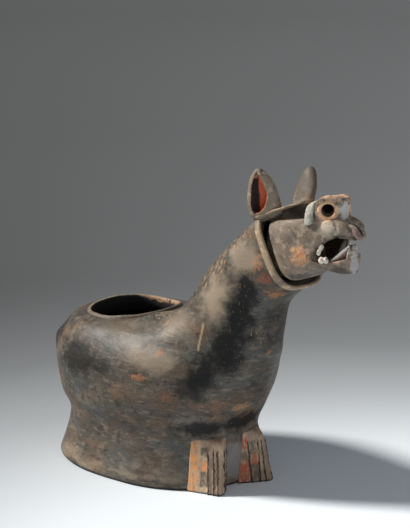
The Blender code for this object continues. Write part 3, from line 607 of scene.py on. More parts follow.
paint = Finish("painted_clay", (0.31, 0.215, 0.15), 0.62)
paint.coat((0.46, 0.34, 0.24), paint.clouds(0.42, 0.62, 9 * MM, (1, 1, 2.5), 2.1), 0.65)
leg_place = paint.node("Attribute", attribute_name="leg_place", output=1)
wobble = paint.node("TexNoise", paint.place, None, 140, 3, 0.6, output=1)
wobble = paint.node("VectorMath", wobble, (0.5, 0.5, 0.5), operation="SUBTRACT")
leg_place = paint.node("VectorMath", wobble, (0.06, 0.10, 0), leg_place, operation="MULTIPLY_ADD")
round_leg = paint.node("SeparateXYZ", leg_place, output=0)
up_leg = paint.node("SeparateXYZ", leg_place, output=1)
BRUSH_EDGE = 0.016


def field(left, right, low, high):
    """A painted field between two shares round the leg and two shares of its height."""
    edges = []
    for value, start, end in ((round_leg, left, right), (up_leg, low, high)):
        edges.append(paint.between(value, start - BRUSH_EDGE, start + BRUSH_EDGE))
        edges.append(paint.between(value, end + BRUSH_EDGE, end - BRUSH_EDGE))
    return paint.both(*edges)


flaked = paint.clouds(0.63, 0.47, 4 * MM, (1, 1, 2), 5.2)
ORANGE_PAINT = (0.72, 0.30, 0.09)
CREAM_PAINT = (0.54, 0.40, 0.25)
DARK_PAINT = (0.105, 0.078, 0.055)
RED_PAINT = (0.42, 0.06, 0.018)
# The painted fields: where each begins and ends round the leg, and then up it.
for colour, left, right, low, high in (
    (ORANGE_PAINT, 0.0, 0.125, -0.1, 0.93),
    (ORANGE_PAINT, 0.0, 0.12, 0.90, 1.1),
    (CREAM_PAINT, 0.135, 0.155, 0.02, 0.72),
    (DARK_PAINT, 0.165, 0.27, 0.70, 0.86),
    (CREAM_PAINT, 0.165, 0.28, 0.62, 0.70),
    (ORANGE_PAINT, 0.17, 0.29, 0.42, 0.62),
    (DARK_PAINT, 0.17, 0.30, 0.13, 0.42),
    (CREAM_PAINT, 0.17, 0.30, 0.03, 0.13),
    (ORANGE_PAINT, 0.475, 0.5, 0.8, 1.1),
    (RED_PAINT, 0.83, 1.0, -0.1, 0.45),
    (DARK_PAINT, 0.83, 1.0, 0.45, 0.62),
    (RED_PAINT, 0.88, 1.0, 0.68, 0.92),
    (DARK_PAINT, 0.685, 0.82, 0.05, 0.36),
    (RED_PAINT, 0.685, 0.79, 0.36, 0.56),
    (DARK_PAINT, 0.70, 0.83, 0.56, 0.82),
    (CREAM_PAINT, 0.655, 0.675, 0.02, 0.75),
):
    paint.coat(colour, paint.share(paint.both(field(left, right, low, high), flaked), 0.8), 0.7)
# The toe grooves are darkened up to near the top of the leg.
for foot, head in TOE_GROOVES:
    centre = paint.sum("MULTIPLY_ADD", up_leg, head - foot, foot)
    near = paint.between(paint.sum("ABSOLUTE", paint.sum("SUBTRACT", round_leg, centre)), 0.019, 0.006)
    dark_grooves = paint.both(near, paint.between(up_leg, 0.84, 0.78))
    paint.coat((0.014, 0.012, 0.011), paint.share(dark_grooves, 0.92), 0.8)
# Painted shadow along the bottom of the legs, where they meet the table.
paint.coat((0.012, 0.011, 0.010), paint.between(paint.height(), 3 * MM, 0.5 * MM), 0.8)
paint.relief(paint.mottle(2.5 * MM, (1, 1, 3)), 0.4 * MM)
painted_clay = paint.fired()


def mark(piece, name, values):
    """Keeps a value, or a place, at each point of a piece for its finish to read."""
    values = np.array(values)
    kind, key = ("FLOAT", "value") if values.ndim == 1 else ("FLOAT_VECTOR", "vector")
    attribute = piece.data.attributes.new(name, kind, "POINT")
    attribute.data.foreach_set(key, values.ravel())


SIDES = (("right", -1), ("left", 1))
for side_name, side in SIDES:
    rows = np.array([leg_row(side_name, share) for share in up_shares])
    leg_middle = rows.mean(axis=1, keepdims=True)
    foot_tuck = np.clip(1 - rows[..., 2:] / (3 * MM), 0, 1) ** 2
    rows += (leg_middle - rows) * 0.06 * foot_tuck * np.array((1, 1, 0))
    places = np.zeros(rows.shape)
    places[:, :ACROSS_LEG, 0] = np.linspace(0, 1, ACROSS_LEG)
    places[:, ACROSS_LEG:, 0] = 1
    places[..., 1] = up_shares[:, None]
    if side > 0:
        rows = rows[:, ::-1]
        places = places[:, ::-1]
    leg = solid(side_name + "_front_leg", rows * np.array((1, side, 1)), painted_clay)
    mark(leg, "leg_place", places)
    fixed(leg, "painted_clay", side_name + "_front_leg")

# The head: a hollow form modelled over the fingers and set into the neck's end with a tenon. The cheeks are
# left as raised plates, the temples are pressed in below the halter, and the mouth was cut open with a knife
# while the clay was firm.
HEAD_ORIGIN = Vector((222.5, 0, 312)) * MM
HOOD_FORWARD = Vector((79, 0, 40)).normalized()
HEAD_WALL = 11 * MM
TENON_SHARE = 0.78
TENON_LENGTH = 16 * MM
BETWEEN_TEMPLES = 19 * MM
CLAY_GRAIN = 1.0 * MM
THROUGH = (-60 * MM, 60 * MM)
head_sections = [
    section((32.5, -28.5), (-0.5, 42.5), 38.5, 0, 3.6),
    section((44, -23), (23, 51.5), 38.5, 0, 3.6),
    section((56, -14), (47, 60), 36, 0, 3.2),
    section((71, -10.5), (65, 68), 31, -0.05, 3.0),
    section((86, -12), (76, 75), 24, -0.15, 3.0),
    section((96, -12.5), (84, 75), 17, -0.2, 3.1),
    section((102, -11.5), (95, 50), 16, -0.05, 2.9),
    section((106, -9.5), (119, 34.5), 9.5, 0, 2.5),
]


def at_head(x, y, z):
    """A place given in millimetres from the head's origin."""
    return HEAD_ORIGIN + Vector((x, y, z)) * MM


def prism(name, outline, depths):
    """A block between two copies of an outline that is drawn in side view, from the head's origin."""
    outline = [at_head(x, 0, z) for x, z in outline]
    turning = sum(a.z * b.x - a.x * b.z for a, b in zip(outline, outline[1:] + outline[:1]))
    if turning > 0:
        outline = outline[::-1]
    near, far = sorted(depths)
    return solid(name, [[(p.x, depth, p.z) for p in outline] for depth in (far, near)])


def worked(piece):
    """Works a piece's modifiers into its mesh."""
    mesh = bpy.data.meshes.new_from_object(piece.evaluated_get(bpy.context.evaluated_depsgraph_get()))
    piece.modifiers.clear()
    piece.data = mesh


def carved(piece, *tools, operation="DIFFERENCE"):
    """Cuts the tools out of a piece, or keeps what lies inside them with INTERSECT."""
    for tool in tools:
        modifier = piece.modifiers.new(tool.name, "BOOLEAN")
        modifier.operation = operation
        modifier.solver = "EXACT"
        modifier.object = tool
    worked(piece)
    for tool in tools:
        bpy.data.objects.remove(tool)


def pellet(centre, reach, lean=0):
    """A pressed pellet of clay, egg-shaped, that may lean in side view."""
    bm = bmesh.new()
    bmesh.ops.create_icosphere(bm, subdivisions=4, radius=1)
    turn = Matrix.Rotation(lean, 4, "Y")
    bm.transform(Matrix.Translation(centre) @ turn @ Matrix.Diagonal((*(Vector(reach) * MM), 1)))
    mesh = bpy.data.meshes.new("pellet")
    bm.to_mesh(mesh)
    bm.free()
    made = bpy.data.objects.new("pellet", mesh)
    bpy.context.scene.collection.objects.link(made)
    return made


def pressed_together(name, pieces, strokes, swell=14 * MM, depth=0.5 * MM, grain=CLAY_GRAIN):
    """One body of clay from overlapping pieces, smoothed over with a wet finger and a little uneven."""
    points = []
    faces = []
    for piece in pieces:
        first = len(points)
        points += [vertex.co[:] for vertex in piece.data.vertices]
        faces += [[first + i for i in polygon.vertices] for polygon in piece.data.polygons]
        bpy.data.objects.remove(piece)
    body = clay_piece(name, points, faces)
    remesh = body.modifiers.new("clay", "REMESH")
    remesh.mode = "VOXEL"
    remesh.voxel_size = grain
    smooth = body.modifiers.new("wet_finger", "SMOOTH")
    smooth.factor = 0.5
    smooth.iterations = strokes
    worked(body)
    places = np.array([vertex.co for vertex in body.data.vertices])
    normals = np.array([vertex.normal for vertex in body.data.vertices])
    places += normals * unevenness(places, swell, depth)
    body.data.vertices.foreach_set("co", places.ravel())
    body.data.materials.clear()
    body.data.shade_smooth()
    return body


AROUND_HEAD = 96
head_places = np.linspace(0, len(head_sections) - 1, 71)
head_rings = ovals(along(head_sections, head_places), AROUND_HEAD) + np.array(HEAD_ORIGIN)
first_middle = head_rings[0].mean(axis=0)
tenon = first_middle + (head_rings[0] - first_middle) * TENON_SHARE
tenon_back = tenon - np.array(HOOD_FORWARD) * TENON_LENGTH
head_form = solid("head_form", np.concatenate([[tenon_back, tenon], head_rings]))

# The outlines of the cuts in side view, in millimetres from the head's origin.
UPPER_LIP = ((67, 8), (69, 14), (74, 20), (82, 26), (89, 30), (93.5, 34), (96.5, 30.5), (106, 31), (135, 27))
LOWER_LIP = ((67, 3), (75, 0.5), (92, 3.5), (107, 8.5), (135, 13))
mouth_gap = prism("mouth_gap", [*UPPER_LIP, *LOWER_LIP[::-1]], THROUGH)
jaw_space = prism("jaw_space", [*LOWER_LIP, (135, -60), (75, -60), (75, 0)], THROUGH)
TEMPLE = ((-2, 40), (4, 40.5), (61, 51), (61, 74), (-2, 50))
temples = []
for side_name, side in SIDES:
    temples.append(prism(side_name + "_temple", TEMPLE, (side * BETWEEN_TEMPLES, side * THROUGH[1])))
wall_inside = np.array([0, -HEAD_WALL, 0, HEAD_WALL, HEAD_WALL, 0, 0])
cavity_sections = np.array(head_sections[1:6]) - wall_inside
cavity_rings = ovals(along(cavity_sections, np.linspace(0, 4, 30)), 48) + np.array(HEAD_ORIGIN)
carved(head_form, mouth_gap, jaw_space, solid("mouth_cavity", cavity_rings), *temples)

# The brow is squared off: a flat front between two flat planes for the eyes, in plan on the animal's left.
BROW_PLAN = ((93, 0), (92.5, 7), (90, 12), (82.5, 19), (74, 26.5), (70, 27.5))
BROW_FOOT = 47
BROW_MIDDLE = 80
# How the brow draws in towards its top: shares of its height, and of its way in.
BROW_ROUNDING = ((0, 0), (0.3, 0), (0.6, 0), (0.8, 0), (0.9, 0.03), (0.96, 0.08), (1, 0.2))


def brow_top(x, y):
    """The brow's height over a place of its plan. It rises forward, rounds off and drops on the left."""
    rising = 75 + 0.42 * (x - 70)
    rounded_front = 9 * max(0, (x - 83) / 10) ** 2
    left_drop = 7 * (max(0, y) / 19) ** 2 * min(max(0, (x - 72) / 12), 1)
    return rising - rounded_front - left_drop


brow_plan = [*BROW_PLAN, *((x, -y) for x, y in BROW_PLAN[:0:-1])]
brow_rings = []
for share, inset in BROW_ROUNDING:
    ring = []
    for x, y in brow_plan:
        height = BROW_FOOT + share * (brow_top(x, y) - BROW_FOOT)
        ring.append(at_head(BROW_MIDDLE + (x - BROW_MIDDLE) * (1 - inset), y * (1 - inset), height))
    brow_rings.append(ring)
brow = pressed_together("brow", [solid("brow", brow_rings)], 14)
# The eyes are pierced with a stick through the flat planes of the brow.
EYE_PLACE = (82.5, 18.3, 61.8)
EYE_OUTLOOK = Vector((0.67, 0.74, 0.05)).normalized()
EYE_HOLE = 8.1 * MM
EYE_DEPTH = 14 * MM
STICK_LENGTH = 23 * MM


def eye_seat(side):
    """The middle of an eye and the way it looks out."""
    return at_head(EYE_PLACE[0], side * EYE_PLACE[1], EYE_PLACE[2]), EYE_OUTLOOK * Vector((1, side, 1))


def behind_eye(side, back, inward):
    """A place in the head behind an eye, in millimetres, so far back and so far in from the eye's middle."""
    x, y, z = EYE_PLACE
    return HEAD_ORIGIN / MM + Vector((x - back, side * (y - inward), z))


def stick(side):
    """The stick that pierces an eye."""
    eye, outlook = eye_seat(side)
    turn = Vector((0, 0, 1)).rotation_difference(outlook).to_matrix()
    rings = []
    for height in (-EYE_DEPTH, STICK_LENGTH - EYE_DEPTH):
        ring = []
        for angle in np.linspace(0, 2 * math.pi, 40, endpoint=False):
            ring.append(eye + turn @ Vector((EYE_HOLE * math.cos(angle), EYE_HOLE * math.sin(angle), height)))
        rings.append(ring)
    return solid("stick", rings)


for pierced in (head_form, brow):
    carved(pierced, *(stick(side) for _, side in SIDES))
muzzle = [brow]
# The crest runs back from the brow between the two bars of the halter.
CREST = ((-12, 36), (-12, 45), (46, 65.5), (51, 62), (51, 54))
CREST_HALF_WIDTH = 20 * MM
muzzle.append(prism("crest", CREST, (-CREST_HALF_WIDTH, CREST_HALF_WIDTH)))
for _, side in SIDES:
    muzzle.append(pellet(at_head(97, side * 12.5, 43), (13, 8, 7.5), 0.3))
    muzzle.append(pellet(at_head(86, side * 18, 42), (14, 8, 9), 0.2))
muzzle.append(pellet(at_head(106.5, 0, 37.5), (12, 9.5, 7.5), 0.65))
head = pressed_together("head", [head_form, *muzzle], 5)

skin_tone = Finish("head_slip", (0.19, 0.145, 0.105), 0.62)
skin_tone.coat((0.095, 0.078, 0.06), skin_tone.clouds(0.46, 0.66, 20 * MM, shift=2), 0.6)
skin_tone.coat((0.32, 0.25, 0.185), skin_tone.clouds(0.5, 0.66, 9 * MM, shift=7), 0.65)
flecks = skin_tone.clouds(0.54, 0.66, 2.5 * MM, shift=5)
skin_tone.coat((0.06, 0.05, 0.04), skin_tone.share(flecks, 0.5), 0.65)
# Worn and repainted patches, and painted shade under the right cheek (the last one): where they are on the
# head, how far they reach, their colour and strength.
for centre, reach, colour, strength in (
    ((276, 35, 318), (12, 14, 12), OLD_ORANGE, 0.5),
    ((303, 0, 391), (24, 32, 11), (0.74, 0.48, 0.31), 0.95),
    ((304, -20, 373), (15, 12, 17), (0.66, 0.42, 0.26), 0.9),
    ((304, 20, 373), (15, 12, 17), (0.66, 0.42, 0.26), 0.9),
    ((316, 0, 374), (7, 13, 14), (0.62, 0.61, 0.61), 0.9),
    ((308, -22, 352), (20, 14, 12), (0.46, 0.39, 0.31), 0.85),
    ((308, 22, 352), (20, 14, 12), (0.46, 0.39, 0.31), 0.85),
    ((324, 0, 355), (14, 22, 8), (0.42, 0.36, 0.31), 0.7),
    ((338, 0, 350), (10, 16, 10), (0.34, 0.24, 0.21), 0.6),
    ((262, -34, 300), (26, 14, 12), (0.26, 0.19, 0.135), 0.6),
    # Painted shade under the right cheek, where the head meets the collar.
    ((269, -21, 290), (20, 22, 8), (0.055, 0.047, 0.04), 0.85),
):
    head_spot = skin_tone.patch(centre, reach, 0.5, 6 * MM, 0.6)
    skin_tone.coat(colour, skin_tone.share(head_spot, strength), 0.68)
for colour, shift in ((PALE_CRUST, 13), ((0.62, 0.36, 0.17), 8), ((0.60, 0.22, 0.065), 4)):
    specks = skin_tone.clouds(0.42, 0.54, 3.5 * MM, shift=shift)
    cheek_paint = skin_tone.patch((277, -35, 318), (14, 14, 17), 0.4, 6 * MM, 0.7)
    skin_tone.coat(colour, skin_tone.share(skin_tone.both(specks, cheek_paint), 0.8), 0.7)
# The inside of each pierced eye is painted black as shade.
for _, side in SIDES:
    eye_hole_shade = skin_tone.patch(behind_eye(side, 6, 6.5), (9, 9, 9), 0, 6 * MM, 0.2)
    skin_tone.coat((0.006, 0.005, 0.005), eye_hole_shade, 0.9)
# Painted shade in the crease between the nostril pads.
nose_crease_shade = skin_tone.patch((332, 1.5, 355), (22, 2.6, 13), 0.15, 6 * MM, 0.4)
skin_tone.coat(SOOT_AND_SHADE_BLACK, skin_tone.share(nose_crease_shade, 0.9), 0.7)
# Painted shade inside the open mouth.
mouth_shade = skin_tone.patch((298, 0, 334), (32, 19, 20), 0.1, 6 * MM)
skin_tone.coat((0.012, 0.010, 0.010), mouth_shade, 0.8)
# Painted shadow of the halter bars over the pressed-in temples.
for _, side in SIDES:
    hollow = skin_tone.patch((258, side * 22, 369), (36, 8, 12), 0.2, 6 * MM, 0.7)
    skin_tone.coat((0.04, 0.034, 0.025), skin_tone.share(hollow, 0.9), 0.8)
skin_tone.relief(skin_tone.mottle(3 * MM), 0.45 * MM)
skin_tone.relief(skin_tone.mottle(1 * MM, shift=3), 0.15 * MM)
head_slip = skin_tone.fired()
head.data.materials.append(head_slip)
fixed(head, "head_slip", "head_shell")

# The eyes: rings of buff clay pressed onto the planes of the brow around the pierced pupils, whose depths are
# painted black as shade. The buff slip on them is rubbed thin.


def turned(name, profile, centre, axis, around=64):
    """A closed ring of clay, turned from a profile of radii and heights around an axis."""
    turn = Vector((0, 0, 1)).rotation_difference(axis).to_matrix()
    rings = []
    for angle in np.linspace(0, 2 * math.pi, around, endpoint=False):
        spin = Matrix.Rotation(angle, 3, "Z")
        rings.append([centre + turn @ (spin @ Vector((radius, 0, height))) for radius, height in profile])
    return clay_piece(name, rings, ring_faces(around, len(profile), closed=True))


buff = Finish("buff_slip", (0.82, 0.50, 0.30), 0.7)
buff.coat((0.84, 0.65, 0.47), buff.clouds(0.52, 0.72, 8 * MM, shift=1))
buff.coat((0.25, 0.14, 0.085), buff.clouds(0.54, 0.68, 5 * MM, shift=4))
buff.coat((0.03, 0.022, 0.018), buff.clouds(0.64, 0.7, 2 * MM, shift=9))
# The inside of each pierced eye is painted black as shade.
for _, side in SIDES:
    eye_hole_shade = buff.patch(behind_eye(side, 4, 4.5), (8.6, 8.6, 8.6), 0, 6 * MM, 0.12)
    buff.coat((0.006, 0.005, 0.005), eye_hole_shade, 0.9)
buff.relief(buff.mottle(2.5 * MM), 0.4 * MM)
buff_slip = buff.fired()
# The ring's section: how far from the middle of the eye, and how far proud of the brow, in millimetres.
EYE_LID = (
    (7.5, -9),
    (7.5, -0.4),
    (8, 0.5),
    (9.2, 1.1),
    (10.8, 0.9),
    (12.2, 0.1),
    (12.8, -1),
    (13, -2.4),
    (12.8, -6),
)
for side_name, side in SIDES:
    eye, outlook = eye_seat(side)
    eye_ring = turned(side_name + "_eye_ring", np.array(EYE_LID) * MM, eye, outlook)
    places = np.array([vertex.co for vertex in eye_ring.data.vertices])
    places += np.array(outlook) * unevenness(places, 9 * MM, 0.8 * MM)
    eye_ring.data.vertices.foreach_set("co", places.ravel())
    eye_ring.data.materials.append(buff_slip)
    fixed(eye_ring, "buff_slip", side_name + "_eye_ring")

# The lower jaw: a separate trough of clay hung below the mouth, with a squared chin left pale by a lost patch
# of slip and a pinkish lip.
CHIN_FRONT = 107.5
CHIN_SIDES = (-7 * MM, 7 * MM)
jaw = solid("jaw", head_rings)
jaw_outline = [(min(x, CHIN_FRONT), z - 0.3) for x, z in LOWER_LIP[1:]]
below_the_lip = prism("below_the_lip", [*jaw_outline, (CHIN_FRONT, -60), (75, -60)], THROUGH)
carved(jaw, below_the_lip, operation="INTERSECT")
carved(jaw, pellet(at_head(92, 0, 6), (19, 12, 8)))
chin = prism("chin", ((98, -11.5), (107, -10.5), (CHIN_FRONT, 9), (104, 9.5), (98, 5)), CHIN_SIDES)
lower_jaw = pressed_together("lower_jaw", [jaw, chin], 3)
lip = Finish("jaw_slip", (0.21, 0.16, 0.12), 0.6)
lip.coat((0.075, 0.06, 0.048), lip.clouds(0.45, 0.65, 12 * MM, shift=2), 0.55)
lip_line = lip.patch((312, 0, 316), (32, 40, 5), 0.4, 5 * MM, 0.7)
lip.coat((0.40, 0.25, 0.19), lip.share(lip_line, 0.75), 0.6)
lip.coat((0.46, 0.43, 0.435), lip.share(lip.patch((331, 0.5, 311), (7, 8.5, 12), 0.35, 5 * MM), 0.85), 0.55)
# Painted shade on the jaw inside the mouth.
lip.coat((0.02, 0.015, 0.014), lip.patch((312, 0, 314), (18, 12, 7), 0.2, 6 * MM), 0.8)
# Painted shade on the lower side of the jaw, towards the chin.
jaw_underside_shade = lip.patch((319, -13, 305), (13, 10, 8), 0.3, 6 * MM, 0.5)
lip.coat((0.045, 0.038, 0.032), lip.share(jaw_underside_shade, 0.85), 0.7)
lip.relief(lip.mottle(2.5 * MM), 0.4 * MM)
lower_jaw.data.materials.append(lip.fired())
fixed(lower_jaw, "head_slip", "lower_jaw")

# The teeth: pellets of white clay pressed onto the jaws, one fang and one molar on each side, and a row of
# incisors on a strip of gum behind the chin.
ivory = Finish("tooth_clay", (0.62, 0.56, 0.48), 0.5)
ivory.coat((0.30, 0.22, 0.18), ivory.clouds(0.47, 0.62, 4 * MM, shift=2))
ivory.coat((0.80, 0.77, 0.70), ivory.clouds(0.5, 0.62, 3 * MM, shift=8))
behind_chin = ivory.patch((329, 0, 327), (9, 13, 13), 0.4, 3 * MM, 0.3)
ivory.coat((0.27, 0.23, 0.20), ivory.share(behind_chin, 0.6))
ivory.relief(ivory.mottle(2 * MM), 0.4 * MM)
tooth_clay = ivory.fired()
TOOTH_GRAIN = 0.5 * MM
for side_name, side in SIDES:
    fang = [pellet(at_head(75.5, side * 24.5, 14), (2.9, 2.7, 5.5), 0.35)]
    fang += [pellet(at_head(77.5, side * 23.5, 19), (3.4, 2.8, 4.5), 0.35)]
    molar = [pellet(at_head(79, side * 24, 4), (4, 3.2, 4.2))]
    molar += [pellet(at_head(84, side * 22.5, 4.5), (3.8, 3, 4))]
    for name, pellets in (("_upper_fang", fang), ("_lower_molar", molar)):
        tooth = pressed_together(side_name + name, pellets, 3, 4 * MM, 0.4 * MM, TOOTH_GRAIN)
        tooth.data.materials.append(tooth_clay)
        fixed(tooth, "tooth_clay", side_name + name)
row_of_teeth = []
for i, across in enumerate(np.linspace(-6, 6, 4)):
    setback = 0.10 * across**2
    crown = at_head(108 - setback, across, 15 - setback + 0.8 * (i % 2))
    row_of_teeth.append(pellet(crown, (2.3, 2.4, 8.5), 0.12))
row_of_teeth.append(prism("gum", ((102, 6), (107.5, 7), (108, 11.5), (103, 10.5)), CHIN_SIDES))
incisors = pressed_together("lower_incisors", row_of_teeth, 3, 4 * MM, 0.4 * MM, TOOTH_GRAIN)
incisors.data.materials.append(tooth_clay)
fixed(incisors, "tooth_clay", "lower_incisors")

# The tongue: a strip of clay laid in the jaw and curled up behind the incisors. Its edges are pinched thin,
# and the pink slip is rubbed off them.

# Along its length: the path in side view, half its width and how far its edges curl up, in millimetres.
TONGUE_PATH = ((79, -2), (87, 0.5), (95, 5), (102, 13), (106, 21))
TONGUE_HALF_WIDTH = (13, 16, 15, 11, 7)
TONGUE_CURL = (1, 3, 4.5, 4, 2)
tongue_sections = np.column_stack([TONGUE_PATH, TONGUE_HALF_WIDTH, TONGUE_CURL])
tongue_angles = np.linspace(0, 2 * math.pi, 40, endpoint=False)
tongue_rings = []
for x, z, half_width, curl in along(tongue_sections, np.linspace(0, len(TONGUE_PATH) - 1, 33)):
    ring = []
    for angle in tongue_angles:
        across = half_width * math.sin(angle)
        thick = 2.2 * math.cos(angle) * (1 - 0.3 * math.sin(angle) ** 2)
        rise = curl * math.sin(angle) ** 2
        ring.append(at_head(x + 0.5 * thick - 0.6 * rise, across, z - 0.8 * thick + rise))
    tongue_rings.append(ring)
pink = Finish("pink_slip", (0.30, 0.20, 0.17), 0.6)
pink.coat((0.15, 0.105, 0.09), pink.clouds(0.44, 0.62, 6 * MM, shift=1))
pink.coat((0.46, 0.33, 0.29), pink.clouds(0.54, 0.68, 4 * MM, shift=5))
# Painted shade in the crease between the nostril pads.
nostril_crease_shade = pink.patch((336, 1.5, 350), (16, 3, 10), 0.15, 6 * MM, 0.4)
pink.coat(SOOT_AND_SHADE_BLACK, pink.share(nostril_crease_shade, 0.9), 0.7)
# Painted shade inside the pierced nostrils.
for _, side in SIDES:
    nostril_shade = pink.patch((335.5, side * 9.5, 344), (5.5, 5, 4.6), 0.15, 4 * MM, 0.3)
    pink.coat((0.010, 0.008, 0.008), nostril_shade, 0.8)
pinched_edge = pink.node("Attribute", attribute_name="pinched_edge", output=2)
pink.coat((0.78, 0.74, 0.67), pink.between(pinched_edge, 0.75, 0.95))
pink.relief(pink.mottle(2 * MM), 0.4 * MM)
pink_slip = pink.fired()
tongue = solid("tongue", tongue_rings, pink_slip)
mark(tongue, "pinched_edge", np.tile(np.abs(np.sin(tongue_angles)), len(tongue_rings)))
fixed(tongue, "pink_slip", "tongue")

# The nostrils: pads of clay with the tongue's pink slip, pressed onto the tip of the muzzle and pierced from
# the front with a stick.
for side_name, side in SIDES:
    pad = pellet(at_head(111.5, side * 6, 36), (8, 4.6, 5.6), 0.7)
    wing = pellet(at_head(106, side * 9, 39), (6, 3.6, 4.5), 0.5)
    for pierced in (pad, wing):
        carved(pierced, pellet(at_head(112.5, side * 10, 32.5), (4.2, 3.2, 3.2), 0.7))
    nostril = pressed_together(side_name + "_nostril", [pad, wing], 3, 6 * MM, 0.4 * MM, 0.6 * MM)
    nostril.data.materials.append(pink_slip)
    fixed(nostril, "pink_slip", side_name + "_nostril")

# The halter: a strip of clay bent round the neck's end as a collar, and two bars above the cheeks. They were
# luted on wet and smoothed with a finger, so their edges are round. Their slip is worn to a dull tan.
strap_finish = Finish("halter_slip", (0.30, 0.225, 0.145), 0.6)
strap_finish.coat((0.11, 0.09, 0.07), strap_finish.clouds(0.5, 0.66, 14 * MM, shift=3))
rubbed_strap = strap_finish.clouds(0.5, 0.66, 7 * MM, shift=6)
strap_finish.coat((0.50, 0.38, 0.25), rubbed_strap, 0.6)
old_paint = strap_finish.clouds(0.6, 0.68, 9 * MM, shift=11)
strap_finish.coat(OLD_ORANGE, strap_finish.share(old_paint, 0.4))
strap_finish.relief(strap_finish.mottle(3 * MM), 0.45 * MM)
halter_slip = strap_finish.fired()

# The neck's end: its edge, the way out from it and the way back along the neck.
edge = outside[-1]
edge_out = wall_out[-1]
edge_back = outside[-6] - edge
edge_back = edge_back / np.linalg.norm(edge_back, axis=1, keepdims=True)
forward = np.array(HOOD_FORWARD)
# The strip's section: how far ahead of the neck's end, or behind it, and how far out, in millimetres.
BAND_SECTION = (
    (-3, -0.5),
    (-3.2, 1.8),
    (-2.2, 3.3),
    (-0.3, 4.1),
    (2, 4.0),
    (4.6, 4.2),
    (6.4, 3.5),
    (7.1, 1.9),
    (6.8, 0.2),
    (4, -0.6),
    (-1, -0.8),
)
band_rings = []
for ahead, out in BAND_SECTION:
    direction = edge_back * -min(ahead, 0) + forward * max(ahead, 0)
    band_rings.append(edge + (direction + edge_out * out) * MM)
band_rings = np.array(band_rings)
band_rings += edge_out * unevenness(band_rings, 22 * MM, 0.9 * MM)
band_faces = ring_faces(len(band_rings), AROUND_WALL, closed=True)
halter_band = clay_piece("halter_band", band_rings, band_faces, halter_slip)
fixed(halter_band, "worn_slip", "halter_band")

# The line of a bar: its place in side view and its distance from the middle of the head, in millimetres.
STRAP_START = np.array((-14, 44, 39.5))
STRAP_END = np.array((54, 70, 30.5))
# The bar's section: how far out from its line, and how far up, in millimetres.
STRAP_SECTION = (
    (0, -2.2),
    (0.6, -0.6),
    (0.3, 1.6),
    (-1, 2.6),
    (-3.2, 3),
    (-12, 3),
    (-18, 2.8),
    (-20, 1),
    (-20, -2.6),
    (-6, -2.8),
    (-2, -2.8),
)


def rounded(piece):
    """Rounds off a piece's edges with a wet finger."""
    rounding = piece.modifiers.new("rounding", "SUBSURF")
    rounding.levels = 2
    rounding.render_levels = 2
    worked(piece)


for side_name, side in SIDES:
    rings = []
    for share in np.linspace(0, 1, 30):
        x, z, spread = STRAP_START + (STRAP_END - STRAP_START) * share
        thinning = 0.85 - 0.5 * share
        rings.append([at_head(x, side * (spread + out), z + up * thinning) for out, up in STRAP_SECTION])
    rings = np.array(rings)
    rings += unevenness(rings, 16 * MM, 0.8 * MM) * np.array((0, side, 1))
    strap = solid(side_name + "_cheek_strap", rings if side > 0 else rings[:, ::-1], halter_slip)
    rounded(strap)
    fixed(strap, "worn_slip", side_name + "_cheek_strap")

# The nose band: a strip of clay laid across the head from cheek to cheek, where the bars of the halter end.
# It keeps its pale slip.
pale = Finish("pale_slip", (0.47, 0.45, 0.38), 0.7)
pale.coat((0.32, 0.31, 0.26), pale.clouds(0.46, 0.62, 6 * MM, shift=2))
pale.coat((0.62, 0.60, 0.52), pale.clouds(0.52, 0.66, 3 * MM, shift=5))
pale.relief(pale.mottle(2.5 * MM), 0.4 * MM)
# It bridges the rounded corners of the head, so it follows a squarer form of the same sections.
NOSE_BAND_ROW = 29
NOSE_BAND_SQUARENESS = 6
NOSE_BAND_ENDS = (0.26, 0.74)
squarer_sections = np.array(head_sections)
squarer_sections[:, -1] = NOSE_BAND_SQUARENESS
band_form = ovals(along(squarer_sections, head_places), AROUND_HEAD) + np.array(HEAD_ORIGIN)
band_path = band_form[NOSE_BAND_ROW]
band_out = outward(band_form)[NOSE_BAND_ROW]
band_ahead = np.gradient(band_form, axis=0)[NOSE_BAND_ROW]
band_ahead = band_ahead / np.linalg.norm(band_ahead, axis=1, keepdims=True)
# The strip's section: how far ahead of its middle line, and how far out from the head, in millimetres.
NOSE_BAND_SECTION = (
    (-5.2, -5),
    (-5.3, 1.6),
    (-4.4, 2.8),
    (-1.5, 3.3),
    (1.5, 3.3),
    (4.4, 2.8),
    (5.3, 1.6),
    (5.2, -5),
)
first_column, last_column = (round(end * AROUND_HEAD) for end in NOSE_BAND_ENDS)
rings = []
for column in range(first_column, last_column + 1):
    ring = []
    for ahead, out in NOSE_BAND_SECTION[::-1]:
        ring.append(band_path[column] + (band_ahead[column] * ahead + band_out[column] * out) * MM)
    rings.append(ring)
rings = np.array(rings)
rings += unevenness(rings, 10 * MM, 0.6 * MM)
nose_band = solid("nose_band", rings, pale.fired())
rounded(nose_band)
fixed(nose_band, "pale_slip", "nose_band")

